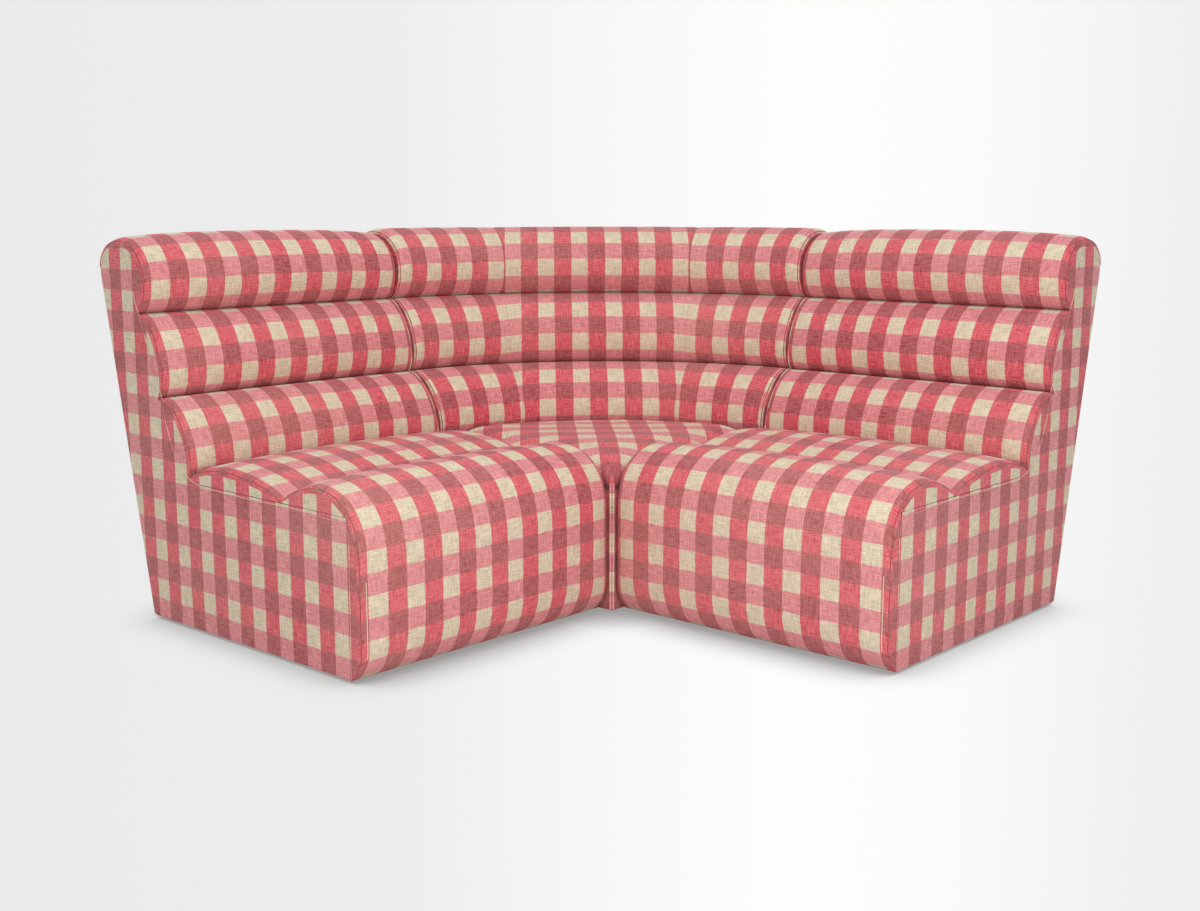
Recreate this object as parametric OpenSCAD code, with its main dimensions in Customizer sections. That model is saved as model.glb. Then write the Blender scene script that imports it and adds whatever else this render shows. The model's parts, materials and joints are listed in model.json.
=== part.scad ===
// Modular corner sofa: two armless straight units hooked to a quarter-round corner unit.
// Millimetres, +Z up. The sofa opens towards -Y and is symmetric about the plane x = 0.
// The origin is the middle of the sofa's box, on the floor.

/* [Units] */
// Width of one straight unit, from its outer side to the corner unit
unit_w = 750; // [620:5:950]
// Gap between the side panels of neighbouring units
unit_gap = 4; // [3:0.5:6]
// Height of the glides, which is also the gap under the covers
glide_h = 6; // [4:1:16]
// Diameter of a glide
glide_d = 30; // [20:1:36]
// Depth of a unit at the floor, front face to rear face
base_d = 788; // [700:2:880]
// How far the rear leans out between the floor and the shoulder
back_lean = 164; // [150:2:200]

/* [Seat] */
// Height of the seat deck of a straight unit
deck_h = 344; // [330:2:360]
// Height of the crest of the front roll over the deck, at mid width
front_roll_rise = 68; // [60:1:90]
// Depth of the front roll, front face to the valley behind it
front_roll_d = 276; // [240:2:320]
// Thickness of the front roll where it hangs in front of the frame
front_roll_t = 52; // [40:1:70]
// Radius of the turned-under foot of the front roll
hem_r = 84; // [60:1:100]
// Depth of the nose, front face to its crest
nose_d = 155; // [120:1:180]
// Height of the nose, from where it starts to turn back up to its crest
nose_rise = 142; // [110:1:170]
// Height of the rear seat roll over the deck
rear_roll_rise = 64; // [40:1:70]

/* [Back] */
// Height of the crest of the top bolster at mid width
top_h = 902; // [840:2:940]
// Thickness of the back at its foot, measured level from the rear face at the floor
foot_t = 161; // [150:1:190]
// Crease between the lower and the middle bolster: its share of the way up from deck to crest
low_crease_share = 0.326; // [0.3:0.002:0.35]
// Thickness of the back at that crease
low_crease_t = 162; // [150:1:175]
// Crease between the middle and the top bolster: its share of the way up from deck to crest
top_crease_share = 0.667; // [0.64:0.001:0.69]
// Thickness of the back at that crease
top_crease_t = 125; // [115:1:135]
// How far the top of the side panels lies below the crest
side_drop = 52; // [44:2:60]
// Thickness of the back at the top of the side panels
side_top_t = 112; // [100:1:120]
// How far the rear shoulder, where the lean ends, lies below the crest
shoulder_drop = 82; // [72:2:100]
// Thickness of the back from the shoulder to the foremost line of the top bolster
top_bolster_t = 203; // [190:1:215]
// How far the lower bolster stands out from its chord
low_bulge = 70; // [45:1:74]
// How far the middle bolster stands out from its chord
middle_bulge = 68; // [40:1:74]

/* [Upholstery] */
// Thickness of an upholstered side panel
side_t = 12; // [11:0.5:18]
// Thickness of the rear panel
rear_t = 10; // [6:0.5:14]
// How far a roll sinks from its middle to its ends
crown = 12; // [4:1:16]
// Depth of the rounded end edge of a roll
edge_d = 14; // [6:1:16]
// Width of the rounded end edge of a roll
edge_w = 26; // [18:1:36]
// Thickness of the felt over the seat springs
felt_t = 10; // [6:1:14]
// Thickness of the dust cover
dust_t = 1.5; // [1:0.5:3]

/* [Corner unit] */
// Angle of the ribs of the corner unit from its middle, about its tip
rib_angle = 15; // [12:0.5:18]
// How far the seat deck of the corner unit lies below that of the straight units
corner_deck_drop = 44; // [40:1:60]
// Thickness of the corner seat pad over its deck
pad_t = 90; // [80:1:110]
// Thickness of the edge of the corner seat pad
pad_edge_t = 16; // [10:1:30]
// Width of the rounded edge of the corner seat pad
pad_edge_w = 96; // [70:2:120]
// How far the pad stops in front of the foot of the back
pad_back_gap = 32; // [30:1:50]

/* [Frame] */
// Thickness of the plywood gables and ribs
ply = 18; // [15:1:22]
// Thickness of the board behind the front roll
board_t = 10; // [6:1:14]
// Thickness of the timber rails
rail_t = 22; // [18:1:28]
// Height of the timber rails
rail_h = 70; // [50:1:90]
// Diameter of the lightening holes in the gables
gable_hole_d = 90; // [50:2:110]

/* [Suspension] */
// Diameter of the seat spring wire
wire_d = 4; // [3:0.5:5]
// Pitch of the cross bars of a zigzag spring
bar_pitch = 46; // [38:1:56]
// Length of the cross bars of a zigzag spring
bar_w = 30; // [24:1:40]
// Number of zigzag springs under a straight seat
spring_n = 5; // [3:1:6]
// Width of the elastic webbing
web_w = 50; // [40:1:60]
// Thickness of the elastic webbing
web_t = 2; // [1.5:0.5:3]

/* [Links] */
// Thickness of the link plates
link_t = 3; // [2:0.5:3]
// Width of a link hook
hook_w = 40; // [30:1:50]
// How far a hook reaches down into its keeper
hook_drop = 25; // [20:1:32]
// Height of the top of the hooks
link_h = 210; // [190:2:220]
// Lift that frees a hooked unit from the corner unit
link_lift = 60; // [50:1:64]
// Diameter of the link screws
screw_d = 4; // [3:0.5:5]
// Length of the link screws
screw_l = 14; // [10:1:18]

/* [Hidden] */

// Colours
check_red = "#c9505a";
check_rose = "#cf8086";
timber = "#c9a46f";
plywood = "#b98f5c";
steel = "#8f949a";
felt_grey = "#77736c";
web_black = "#2e2c2b";

// Clearances and resolution
soft_gap = 0.3;
fit_gap = 0.1;
overrun = 1;
round_fn = 48;
turned_fn = 240;
wire_fn = 24;
quarter = 45;

// Places across a straight unit: x from the outer side, y from the front face
body_w = unit_w - unit_gap / 2;
frame_x0 = side_t;
frame_x1 = body_w - side_t;
frame_w = frame_x1 - frame_x0;
bay_x0 = frame_x0 + ply;
bay_x1 = frame_x1 - ply;
bay_w = bay_x1 - bay_x0;
front_stand = 5;
frame_y0 = front_roll_t + board_t;
shoulder_h = top_h - shoulder_drop;
lean = back_lean / shoulder_h;
seat_h = deck_h + front_roll_rise;
corner_deck_h = deck_h - corner_deck_drop;
pad_h = corner_deck_h + pad_t;
pad_edge_h = corner_deck_h + pad_edge_t;
lean_deg = atan(lean);
rear_in = rear_t / cos(lean_deg);
function rear_y(z) = base_d + lean * z;
function inner_rear_y(z) = rear_y(z) - rear_in;

// The foot of the back and its creases, where the covers are pulled down to the frame
seat_d = base_d - foot_t;
foot = [seat_d, deck_h];
function crease(share, t) = let (z = deck_h + (top_h - deck_h) * share) [rear_y(z) - t, z];
low_crease = crease(low_crease_share, low_crease_t);
top_crease = crease(top_crease_share, top_crease_t);

// The top of the side panels, and the shoulder of the rear
brow_share = 0.45;
side_h = top_h - side_drop;
side_top = [rear_y(side_h) - side_top_t, side_h];
side_brow = [rear_y(side_h) - side_top_t * (1 - brow_share), side_h];
shoulder = [rear_y(shoulder_h), shoulder_h];
top_front_d = shoulder[0] - top_bolster_t;

// A profile drawn in depth and height, extruded sideways from x0 by w
module sideways(x0, w) {
    translate([x0, 0, 0]) rotate([90, 0, 90]) linear_extrude(w) children();
}

// How far the end of a roll is rounded in at distance d from the end
crown_power = 3;
edge_n = 3;
function rounded(d) = d < edge_w ? edge_d * (1 - sqrt(1 - pow(1 - d / edge_w, 2))) : 0;
// The same with the crown of a straight run of length w
function drawn(d, w) = crown * pow(max(0, 1 - 2 * d / w), crown_power) + rounded(d);
edge_run = [for (i = [0:edge_n]) edge_w * (1 - cos(90 * i / edge_n))];

// Stations along a straight roll, from its outer end to its inner end
run_shares = [0.14, 0.3];
half_run = concat(edge_run, [for (s = run_shares) s * body_w]);
run = concat(half_run, [body_w / 2], [for (i = [len(half_run) - 1:-1:0]) body_w - half_run[i]]);

// Height of a rounded hump at place t, from -1 to 1
function hump(t, power) = pow(max(0, 1 - pow(abs(t), power)), 1 / power);

// Section of the front roll: from the hem up the face, over the nose and down to the valley
nose_power = 2.25;
valley_power = 1.45;
front_n = 5;
function front_section(in) =
    let (
        top = seat_h - in,
        turn = top - nose_rise + in / 2,
        sweep = acos(1 - (front_roll_t - soft_gap - in) / hem_r)
    )
    concat(
        [for (i = [0:front_n - 1]) let (a = sweep * (1 - i / front_n))
            [in + hem_r * (1 - cos(a)), glide_h + hem_r * (sin(sweep) - sin(a))]],
        [for (i = [0:front_n]) let (s = sin(90 * i / front_n))
            [in + (nose_d - in) * (1 - hump(s, nose_power)), turn + (top - turn) * s]],
        [for (i = [1:front_n]) let (s = sin(90 * i / front_n))
            [nose_d + (front_roll_d - nose_d) * s,
             deck_h + soft_gap + (top - deck_h - soft_gap) * hump(s, valley_power)]],
        [[front_roll_d - soft_gap, deck_h], [front_roll_t, deck_h]]
    );

// Section of the rear seat roll, which stops short of the foot of the back by the crease
crease_w = 6;
rear_n = 12;
rear_end = seat_d - crease_w;
function rear_section(in) =
    let (
        half = (rear_end - front_roll_d - soft_gap) / 2,
        middle = rear_end - half
    )
    concat(
        [for (i = [0:rear_n]) let (s = -cos(180 * i / rear_n))
            [middle + half * s, deck_h + soft_gap + (rear_roll_rise - in) * hump(s, valley_power)]],
        [[rear_end - soft_gap, deck_h], [middle - half + soft_gap, deck_h]]
    );

// Section of a bolster that swells by h in front of the chord from p up to q
bolster_n = 12;
function bolster_section(p, q, h) =
    let (
        along = (q - p) / norm(q - p),
        out = [-along[1], along[0]],
        a = p + along * soft_gap,
        b = q - along * soft_gap
    )
    [for (i = [0:bolster_n])
        a + (b - a) * (1 - cos(180 * i / bolster_n)) / 2 + out * h * sin(180 * i / bolster_n)];

// Section of the top bolster: out of its crease, over the top and down to the shoulder
top_n = 6;
turn_share = 0.44;
crest_share = 0.53;
function top_section(in) =
    let (
        low = top_crease[1] + soft_gap,
        crest_h = top_h - in,
        front = top_front_d + in,
        turn = low + (crest_h - low) * turn_share,
        crest_y = front + (shoulder[0] - front) * crest_share
    )
    concat(
        [for (i = [0:top_n - 1]) let (a = 90 * i / top_n)
            [front + (top_crease[0] - front) * (1 - sin(a)), low + (turn - low) * (1 - cos(a))]],
        [for (i = [0:top_n]) let (a = 90 * i / top_n)
            [front + (crest_y - front) * (1 - cos(a)), turn + (crest_h - turn) * sin(a)]],
        [for (i = [1:top_n]) let (s = sin(90 * i / top_n))
            [crest_y + (shoulder[0] - crest_y) * s,
             shoulder_h + (crest_h - shoulder_h) * hump(s, nose_power)]],
        [side_brow + [0, soft_gap], side_top + [0, soft_gap]]
    );

function section(kind, in) =
    kind == "front" ? front_section(in)
    : kind == "rear" ? rear_section(in)
    : kind == "low" ? bolster_section(foot, low_crease, low_bulge - in)
    : kind == "middle" ? bolster_section(low_crease, top_crease, middle_bulge - in)
    : top_section(in);

// A closed loft through rings of equal count
module loft(rings) {
    n = len(rings[0]);
    m = len(rings);
    sides = [for (j = [0:m - 2]) for (i = [0:n - 1])
        let (a = j * n + i, b = j * n + (i + 1) % n)
        each [[a, b, b + n], [a, b + n, a + n]]];
    ends = [[for (i = [n - 1:-1:0]) i], [for (i = [0:n - 1]) (m - 1) * n + i]];
    polyhedron(points = [for (r = rings) each r], faces = concat(sides, ends), convexity = 8);
}

module straight_roll(kind) {
    loft([for (x = run)
        [for (p = section(kind, drawn(min(x, body_w - x), body_w))) [x, p[0], p[1]]]]);
}

// Places of the corner unit. Its sides meet at the tip, the middle of the floor plan, and its
// back turns about the tip. s runs in from a side plane, y is the depth as on a straight unit.
side_s = unit_gap / 2;
gable_s = side_s + side_t;
bay_s = gable_s + ply;
function plan(s, y) = [(s - y + front_stand) * sin(quarter), (s + y - front_stand) * sin(quarter)];
function turned_plan(a, y) = [(y - front_stand) * sin(a), (y - front_stand) * cos(a)];
function mirrored_pt(p) = [-p[0], p[1]];

// Middle of the sofa's box, measured from the tip
front_edge = -(unit_w + front_stand - crown - edge_d) * sin(quarter);
rear_edge = shoulder[0] - front_stand;
middle_y = (front_edge + rear_edge) / 2;

module from_tip() {
    translate([0, -middle_y, 0]) children();
}
module left_unit() {
    from_tip() rotate([0, 0, quarter]) translate([-unit_w, -front_stand, 0]) children();
}
module right_unit() {
    mirror([1, 0, 0]) left_unit() children();
}
module left_facet() {
    from_tip() rotate([0, 0, quarter]) translate([0, -front_stand, 0]) children();
}
module right_facet() {
    mirror([1, 0, 0]) left_facet() children();
}
module both_facets() {
    left_facet() children();
    right_facet() children();
}
// Everything that lies more than s inside both side planes
far = 3 * base_d;
module between_sides(s) {
    from_tip() translate([0, 0, -overrun]) linear_extrude(top_h + 2 * overrun)
        polygon([plan(s, s + front_stand), mirrored_pt(plan(s, far)), plan(s, far)]);
}
// A depth profile turned about the tip, between its sides set in by s
module turned(s) {
    intersection() {
        from_tip() rotate([0, 0, quarter]) rotate_extrude(angle = 2 * quarter, $fn = turned_fn)
            translate([-front_stand, 0]) children();
        between_sides(s);
    }
}
// What stands in a plane through the tip, turned by a from the middle: x runs sideways
module at_angle(a) {
    from_tip() rotate([0, 0, -a]) translate([0, -front_stand, 0]) children();
}

// Rings of a roll that turns about the tip, from its left end to its right end
turn_angle = 7.5;
ring_n = floor(quarter / turn_angle) - 1;
function end_ring(kind, d) =
    [for (p = section(kind, rounded(d))) let (q = plan(side_s + d, p[0])) [q[0], q[1], p[1]]];
function turned_ring(kind, a) =
    [for (p = section(kind, 0)) let (q = turned_plan(a, p[0])) [q[0], q[1], p[1]]];
function mirrored(ring) = [for (p = ring) [-p[0], p[1], p[2]]];
module corner_roll(kind) {
    half = concat(
        [for (d = edge_run) end_ring(kind, d)],
        [for (i = [ring_n:-1:1]) turned_ring(kind, -i * turn_angle)]
    );
    from_tip() loft(concat(half, [turned_ring(kind, 0)], [for (i = [len(half) - 1:-1:0]) mirrored(half[i])]));
}

// Frame of a straight unit
gable_foot = glide_h;
hole_low_share = 0.42;
function back_line(off) = [for (p = [foot, low_crease, top_crease, side_top]) p + [off, 0]];
function gable_outline() = concat(
    [[frame_y0, gable_foot], [frame_y0, deck_h]],
    back_line(web_t),
    [side_brow, [inner_rear_y(shoulder_h), shoulder_h], [inner_rear_y(gable_foot), gable_foot]]
);
hole_z = gable_foot + (deck_h - gable_foot) * hole_low_share;
hole_ys = [for (i = [1:3]) frame_y0 + (base_d - frame_y0) * i / 4];
module gable_holes(x0, w) {
    for (y = hole_ys) translate([x0 - overrun, y, hole_z]) rotate([0, 90, 0])
        cylinder(d = gable_hole_d, h = w + 2 * overrun, $fn = round_fn);
}
module screw_holes(x0, w, z) {
    for (y = link_ys, side = [-1, 1]) translate([x0 - overrun, y + side * hook_w / 4, z])
        rotate([0, 90, 0]) cylinder(d = screw_d + fit_gap, h = w + 2 * overrun, $fn = round_fn);
}
module gables() {
    color(plywood) {
        difference() {
            sideways(frame_x0, ply) polygon(gable_outline());
            gable_holes(frame_x0, ply);
        }
        difference() {
            sideways(bay_x1, ply) polygon(gable_outline());
            gable_holes(bay_x1, ply);
            screw_holes(bay_x1, ply, hook_screw_z);
        }
    }
}
module bay_rail(y, z, t, h) {
    translate([bay_x0, y, z]) cube([bay_w, t, h]);
}
seat_rail_top = deck_h - felt_t - wire_d;
module seat_rails() {
    color(timber) {
        bay_rail(frame_y0, seat_rail_top - rail_h, rail_t, rail_h);
        bay_rail(rear_end, seat_rail_top - rail_h, rail_t, rail_h);
        bay_rail(frame_y0, glide_h + dust_t, rail_t, rail_h);
    }
}
top_rail_z = side_h - rail_h;
mid_rail_z = low_crease[1] - rail_h / 2;
module back_rails() {
    color(timber) {
        bay_rail(side_top[0] + web_t, top_rail_z, rail_t, rail_h);
        bay_rail(low_crease[0] + web_t + rail_t, mid_rail_z, rail_t, rail_h);
        bay_rail(inner_rear_y(glide_h) - rail_t, glide_h + dust_t, rail_t, rail_h);
    }
}
module front_board() {
    color(plywood) translate([frame_x0, front_roll_t, glide_h])
        cube([frame_w, board_t, deck_h - glide_h]);
}

// Zigzag seat springs, hooked over the front and the rear seat rail
spring_z = seat_rail_top + wire_d / 2;
spring_y0 = frame_y0 + rail_t / 2;
spring_y1 = rear_end + rail_t / 2;
bar_n = floor((spring_y1 - spring_y0) / bar_pitch);
bar_step = (spring_y1 - spring_y0) / bar_n;
wire_sides = 6;
turn_n = 3;
function spring_x(i) = bay_x0 + bay_w * (i + 1 / 2) / spring_n;
// Ring of the wire at a place of its path, where out points to the right of the way it runs
function wire_ring(x, y, out) =
    [for (i = [0:wire_sides - 1]) let (a = 360 * i / wire_sides, r = wire_d / 2)
        [x + out[0] * r * cos(a), y + out[1] * r * cos(a), spring_z + r * sin(a)]];
// A cross bar that runs to its side, and the turn from its end to the next bar
function bar_rings(k) =
    let (side = k % 2 == 0 ? 1 : -1, y = spring_y0 + k * bar_step)
    concat(
        [for (x = [-1, 1]) wire_ring(x * side * bar_w / 2, y, [0, -side])],
        k == bar_n ? [] : [for (j = [1:turn_n - 1]) let (a = 180 * j / turn_n - 90)
            wire_ring(
                side * (bar_w + bar_step * cos(a)) / 2, y + bar_step * (1 + sin(a)) / 2,
                [cos(a), side * sin(a)]
            )]
    );
module zigzag() {
    loft([for (k = [0:bar_n]) each bar_rings(k)]);
}
module seat_springs() {
    color(steel) for (i = [0:spring_n - 1]) translate([spring_x(i), 0, 0]) zigzag();
}
clip_w = 16;
clip_l = 12;
module spring_clips() {
    color(steel) for (i = [0:spring_n - 1], y = [spring_y0, spring_y1])
        translate([spring_x(i), y, seat_rail_top]) difference() {
            translate([-clip_w / 2, -clip_l / 2, 0]) cube([clip_w, clip_l, wire_d + felt_t / 4]);
            translate([-clip_w, 0, wire_d / 2]) rotate([0, 90, 0])
                cylinder(d = wire_d + fit_gap, h = 2 * clip_w, $fn = wire_fn);
        }
}
module seat_felt() {
    color(felt_grey) difference() {
        translate([bay_x0, frame_y0, deck_h - felt_t]) cube([bay_w, rear_end - frame_y0 + rail_t, felt_t]);
        for (i = [0:spring_n - 1], y = [spring_y0, spring_y1])
            translate([spring_x(i) - clip_w / 2 - soft_gap, y - clip_l / 2 - soft_gap, seat_rail_top])
                cube([clip_w + 2 * soft_gap, clip_l + 2 * soft_gap, wire_d + felt_t / 2]);
    }
}

// Elastic straps behind the bolsters: profiles on the line of the creases
strap_shares = [0.3, 0.75];
function strap(p, q, share) =
    let (
        rise = web_w / norm(q - p) / 2,
        a = p + (q - p) * (share - rise),
        b = p + (q - p) * (share + rise)
    )
    [a, b, b + [web_t, 0], a + [web_t, 0]];
module strap_profiles() {
    for (s = strap_shares) {
        polygon(strap(foot, low_crease, s));
        polygon(strap(low_crease, top_crease, s));
    }
    polygon(strap(top_crease, side_top, 1 / 2));
}
module back_webbing() {
    color(web_black) sideways(frame_x0, frame_w) strap_profiles();
}

// Covers of a straight unit
function side_profile() = concat(
    [[front_roll_t, glide_h], [front_roll_t, deck_h]],
    back_line(0),
    [side_brow, shoulder, [rear_y(glide_h), glide_h]]
);
module outer_side() {
    color(check_red) sideways(0, side_t) polygon(side_profile());
}
module inner_side() {
    color(check_red) difference() {
        sideways(frame_x1, side_t) polygon(side_profile());
        link_pockets(frame_x1, hook_foot - pocket_gap, link_h + pocket_gap);
    }
}
function rear_profile() = [
    [inner_rear_y(glide_h), glide_h], [inner_rear_y(shoulder_h), shoulder_h],
    shoulder, [rear_y(glide_h), glide_h]
];
module rear_panel() {
    color(check_rose) sideways(frame_x0, frame_w) polygon(rear_profile());
}
module dust_cover() {
    color(web_black) translate([bay_x0, frame_y0, glide_h])
        cube([bay_w, inner_rear_y(glide_h) - frame_y0, dust_t]);
}
module glide() {
    cylinder(d = glide_d, h = glide_h, $fn = round_fn);
}
glide_y0 = frame_y0 + glide_d;
glide_y1 = base_d - rear_in - glide_d;
module glides() {
    color(web_black) for (x = [frame_x0 + glide_d / 2, frame_x1 - glide_d / 2], y = [glide_y0, glide_y1])
        translate([x, y, 0]) glide();
}

// Links: hooks on the straight units drop into keepers on the corner unit
pocket_gap = 4;
link_play = 0.5;
link_ys = [for (i = [0, 1]) (hole_ys[i] + hole_ys[i + 1]) / 2];
hook_plate_h = 3 * hook_drop;
hook_foot = link_h - hook_plate_h;
hook_screw_z = hook_foot + hook_plate_h / 4;
keeper_x = unit_w + gable_s;
tongue_x1 = keeper_x - link_t - link_play;
tongue_x0 = tongue_x1 - link_t;
lip_x1 = tongue_x0 - link_play;
lip_x0 = lip_x1 - link_t;
keeper_floor = link_h - link_t - hook_drop - overrun;
keeper_foot = hook_foot;
keeper_screw_z = hook_screw_z;
module hook_profile() {
    polygon([
        [frame_x1, hook_foot], [frame_x1, link_h], [tongue_x1, link_h],
        [tongue_x1, link_h - link_t - hook_drop], [tongue_x0, link_h - link_t - hook_drop],
        [tongue_x0, link_h - link_t], [frame_x1 + link_t, link_h - link_t],
        [frame_x1 + link_t, hook_foot]
    ]);
}
module keeper_profile() {
    polygon([
        [keeper_x, keeper_foot], [keeper_x, link_h - link_t - overrun],
        [keeper_x - link_t, link_h - link_t - overrun], [keeper_x - link_t, keeper_floor],
        [lip_x1, keeper_floor], [lip_x1, link_h - link_t - overrun],
        [lip_x0, link_h - link_t - overrun], [lip_x0, keeper_floor - link_t],
        [keeper_x - link_t, keeper_floor - link_t], [keeper_x - link_t, keeper_foot]
    ]);
}
module link_row() {
    for (y = link_ys) translate([0, y + hook_w / 2, 0]) rotate([90, 0, 0]) linear_extrude(hook_w) children();
}
module link_pockets(x0, z0, z1) {
    for (y = link_ys) translate([x0 - overrun, y - hook_w / 2 - pocket_gap, z0])
        cube([side_t + 2 * overrun, hook_w + 2 * pocket_gap, z1 - z0]);
}
module link_hooks() {
    color(steel) difference() {
        link_row() hook_profile();
        screw_holes(frame_x1, link_t, hook_screw_z);
    }
}
// Pan-head screws: face is where the head rests, way is +1 or -1 along x
module link_screws(face, way, z) {
    color(steel) for (y = link_ys, side = [-1, 1])
        translate([face, y + side * hook_w / 4, z]) rotate([0, way * 90, 0]) {
            cylinder(d = screw_d, h = screw_l, $fn = wire_fn);
            translate([0, 0, -screw_d / 2]) cylinder(d = 2 * screw_d, h = screw_d / 2, $fn = wire_fn);
        }
}

module hook_screws() {
    link_screws(frame_x1 + link_t, -1, hook_screw_z);
}
module keeper_screws() {
    link_screws(gable_s - link_t, 1, keeper_screw_z);
}

// Frame of the corner unit
corner_rail_top = corner_deck_h - 2 * web_t;
// The flat gables stand clear of the curved inside of the rear panel
gable_in = [pow(bay_s, 2) / 2 / (inner_rear_y(gable_foot) - front_stand) + soft_gap / 2, 0];
function corner_gable_outline() = concat(
    [[front_stand, gable_foot], [front_stand, corner_rail_top], [seat_d + web_t, corner_rail_top]],
    back_line(web_t),
    [side_brow, [inner_rear_y(shoulder_h), shoulder_h] - gable_in,
     [inner_rear_y(gable_foot), gable_foot] - gable_in]
);
// Everything right of the sofa's middle plane, kept clear by d
module right_half(d) {
    from_tip() translate([-d, -overrun, -overrun]) cube([far, far, top_h + 2 * overrun]);
}
module corner_gable() {
    difference() {
        left_facet() sideways(gable_s, ply) polygon(corner_gable_outline());
        left_facet() gable_holes(gable_s, ply);
        left_facet() screw_holes(gable_s, ply, keeper_screw_z);
        right_half(soft_gap / 2);
    }
}
module corner_gables() {
    color(plywood) {
        corner_gable();
        mirror([1, 0, 0]) corner_gable();
    }
}
rib_front = seat_d - rail_t / 2;
function rib_outline() = concat(
    [[rib_front, gable_foot], [rib_front, corner_rail_top], [seat_d + web_t, corner_rail_top]],
    back_line(web_t),
    [side_brow, [inner_rear_y(shoulder_h), shoulder_h] - rib_in,
     [inner_rear_y(gable_foot), gable_foot] - rib_in]
);
// The flat ribs stand clear of the curved inside of the rear panel
rib_in = [soft_gap, 0];
rib_as = [-rib_angle, rib_angle];
module corner_ribs() {
    color(plywood) for (a = rib_as) at_angle(a) sideways(-ply / 2, ply) polygon(rib_outline());
}
// The space of the ribs, from depth y outwards
module rib_slots(y) {
    for (a = rib_as) at_angle(a) translate([-ply / 2, y, -overrun]) cube([ply, base_d, top_h]);
}
post_w = 60;
module corner_post() {
    p = bay_s;
    q = bay_s + front_stand;
    z0 = glide_h + dust_t;
    color(timber) from_tip() translate([0, 0, z0]) linear_extrude(corner_rail_top - z0)
        polygon([plan(p, q), plan(p + post_w, q), plan(p, q + post_w)]);
}
// Bent rails between the gables and the ribs
module bent_rails(y, z, h) {
    difference() {
        turned(bay_s) translate([y, z]) square([rail_t, h]);
        rib_slots(rib_front);
    }
}
module corner_seat_rails() {
    color(timber) bent_rails(rib_front, corner_rail_top - rail_h, rail_h);
}
module corner_back_rails() {
    color(timber) {
        bent_rails(side_top[0] + web_t, top_rail_z, rail_h);
        bent_rails(inner_rear_y(glide_h) - rail_t, glide_h + dust_t, rail_h);
    }
}

// Webbing of the corner unit: woven across the seat, upright behind the bolsters
web_n = 3;
web_end = seat_d - web_t;
module corner_seat_webbing() {
    span = rib_front - gable_s;
    web_y0 = bay_s + front_stand - web_w / 2;
    color(web_black) for (side = [0, 1]) mirror([side, 0, 0]) intersection() {
        left_facet() for (i = [1:web_n])
            translate([gable_s, web_y0 + span * i / (web_n + 1), corner_rail_top + side * web_t])
                cube([base_d, web_w, web_t]);
        between_sides(gable_s);
        from_tip() cylinder(r = web_end - front_stand, h = corner_deck_h + overrun, $fn = turned_fn);
    }
}
strap_as = [for (i = [-5:2:5]) i * turn_angle];
module corner_back_webbing() {
    front = concat([[seat_d, corner_rail_top]], back_line(0));
    back = concat([[seat_d + web_t, corner_rail_top]], back_line(web_t));
    color(web_black) for (a = strap_as) at_angle(a) sideways(-web_w / 2, web_w)
        polygon(concat(front, [for (i = [len(back) - 1:-1:0]) back[i]]));
}

// Seat pad of the corner unit: rings run from its stitched edge in to its middle
pad_y = rear_end - pad_back_gap + crease_w;
pad_side_n = 7;
pad_back_n = 6;
pad_a = quarter - asin(side_s / (pad_y - front_stand));
pad_ring_shares = [0, 0.03, 0.09, 0.18, 0.3, 0.46, 0.7];
pad_drop = 14;
heart_share = 0.53;
function pad_rim() =
    let (
        c = plan(side_s, side_s + front_stand),
        l = plan(side_s, pad_y),
        half = concat(
            [for (i = [0:pad_side_n - 1]) c + (l - c) * i / pad_side_n],
            [for (i = [0:pad_back_n]) turned_plan(-pad_a * (1 - i / pad_back_n), pad_y)]
        )
    )
    concat(half, [for (i = [len(half) - 2:-1:1]) mirrored_pt(half[i])]);
// Distances from the two side planes
function side_gaps(p) = [(p[0] + p[1]) * sin(quarter) - side_s, (p[1] - p[0]) * sin(quarter) - side_s];
function pad_z(p, share) =
    let (
        g = side_gaps(p),
        d = g[0] * g[1] <= 0 ? 0 : g[0] * g[1] / (g[0] + g[1]),
        rise = min(1, d / pad_edge_w)
    )
    pad_edge_h + (pad_h - pad_edge_h) * sqrt(1 - pow(1 - rise, 2))
        - (share == 0 && d > 0 ? pad_drop * rise : 0);
module corner_seat_pad() {
    rim = pad_rim();
    n = len(rim);
    m = len(pad_ring_shares);
    heart = [0, pad_y * heart_share];
    rings = [for (s = pad_ring_shares)
        [for (p = rim) let (q = p + (heart - p) * s) [q[0], q[1], pad_z(q, s)]]];
    base = [for (p = rim) [p[0], p[1], corner_deck_h]];
    levels = concat([base], rings);
    color(check_rose) from_tip() polyhedron(
        points = concat([for (r = levels) each r], [[heart[0], heart[1], pad_h]]),
        faces = concat(
            [[for (i = [0:n - 1]) i]],
            [for (j = [0:m - 1]) for (i = [0:n - 1])
                let (a = j * n + i, b = j * n + (i + 1) % n) each [[a, a + n, b + n], [a, b + n, b]]],
            [for (i = [0:n - 1]) [m * n + i, (m + 1) * n, m * n + (i + 1) % n]]
        ),
        convexity = 6
    );
}

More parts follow.
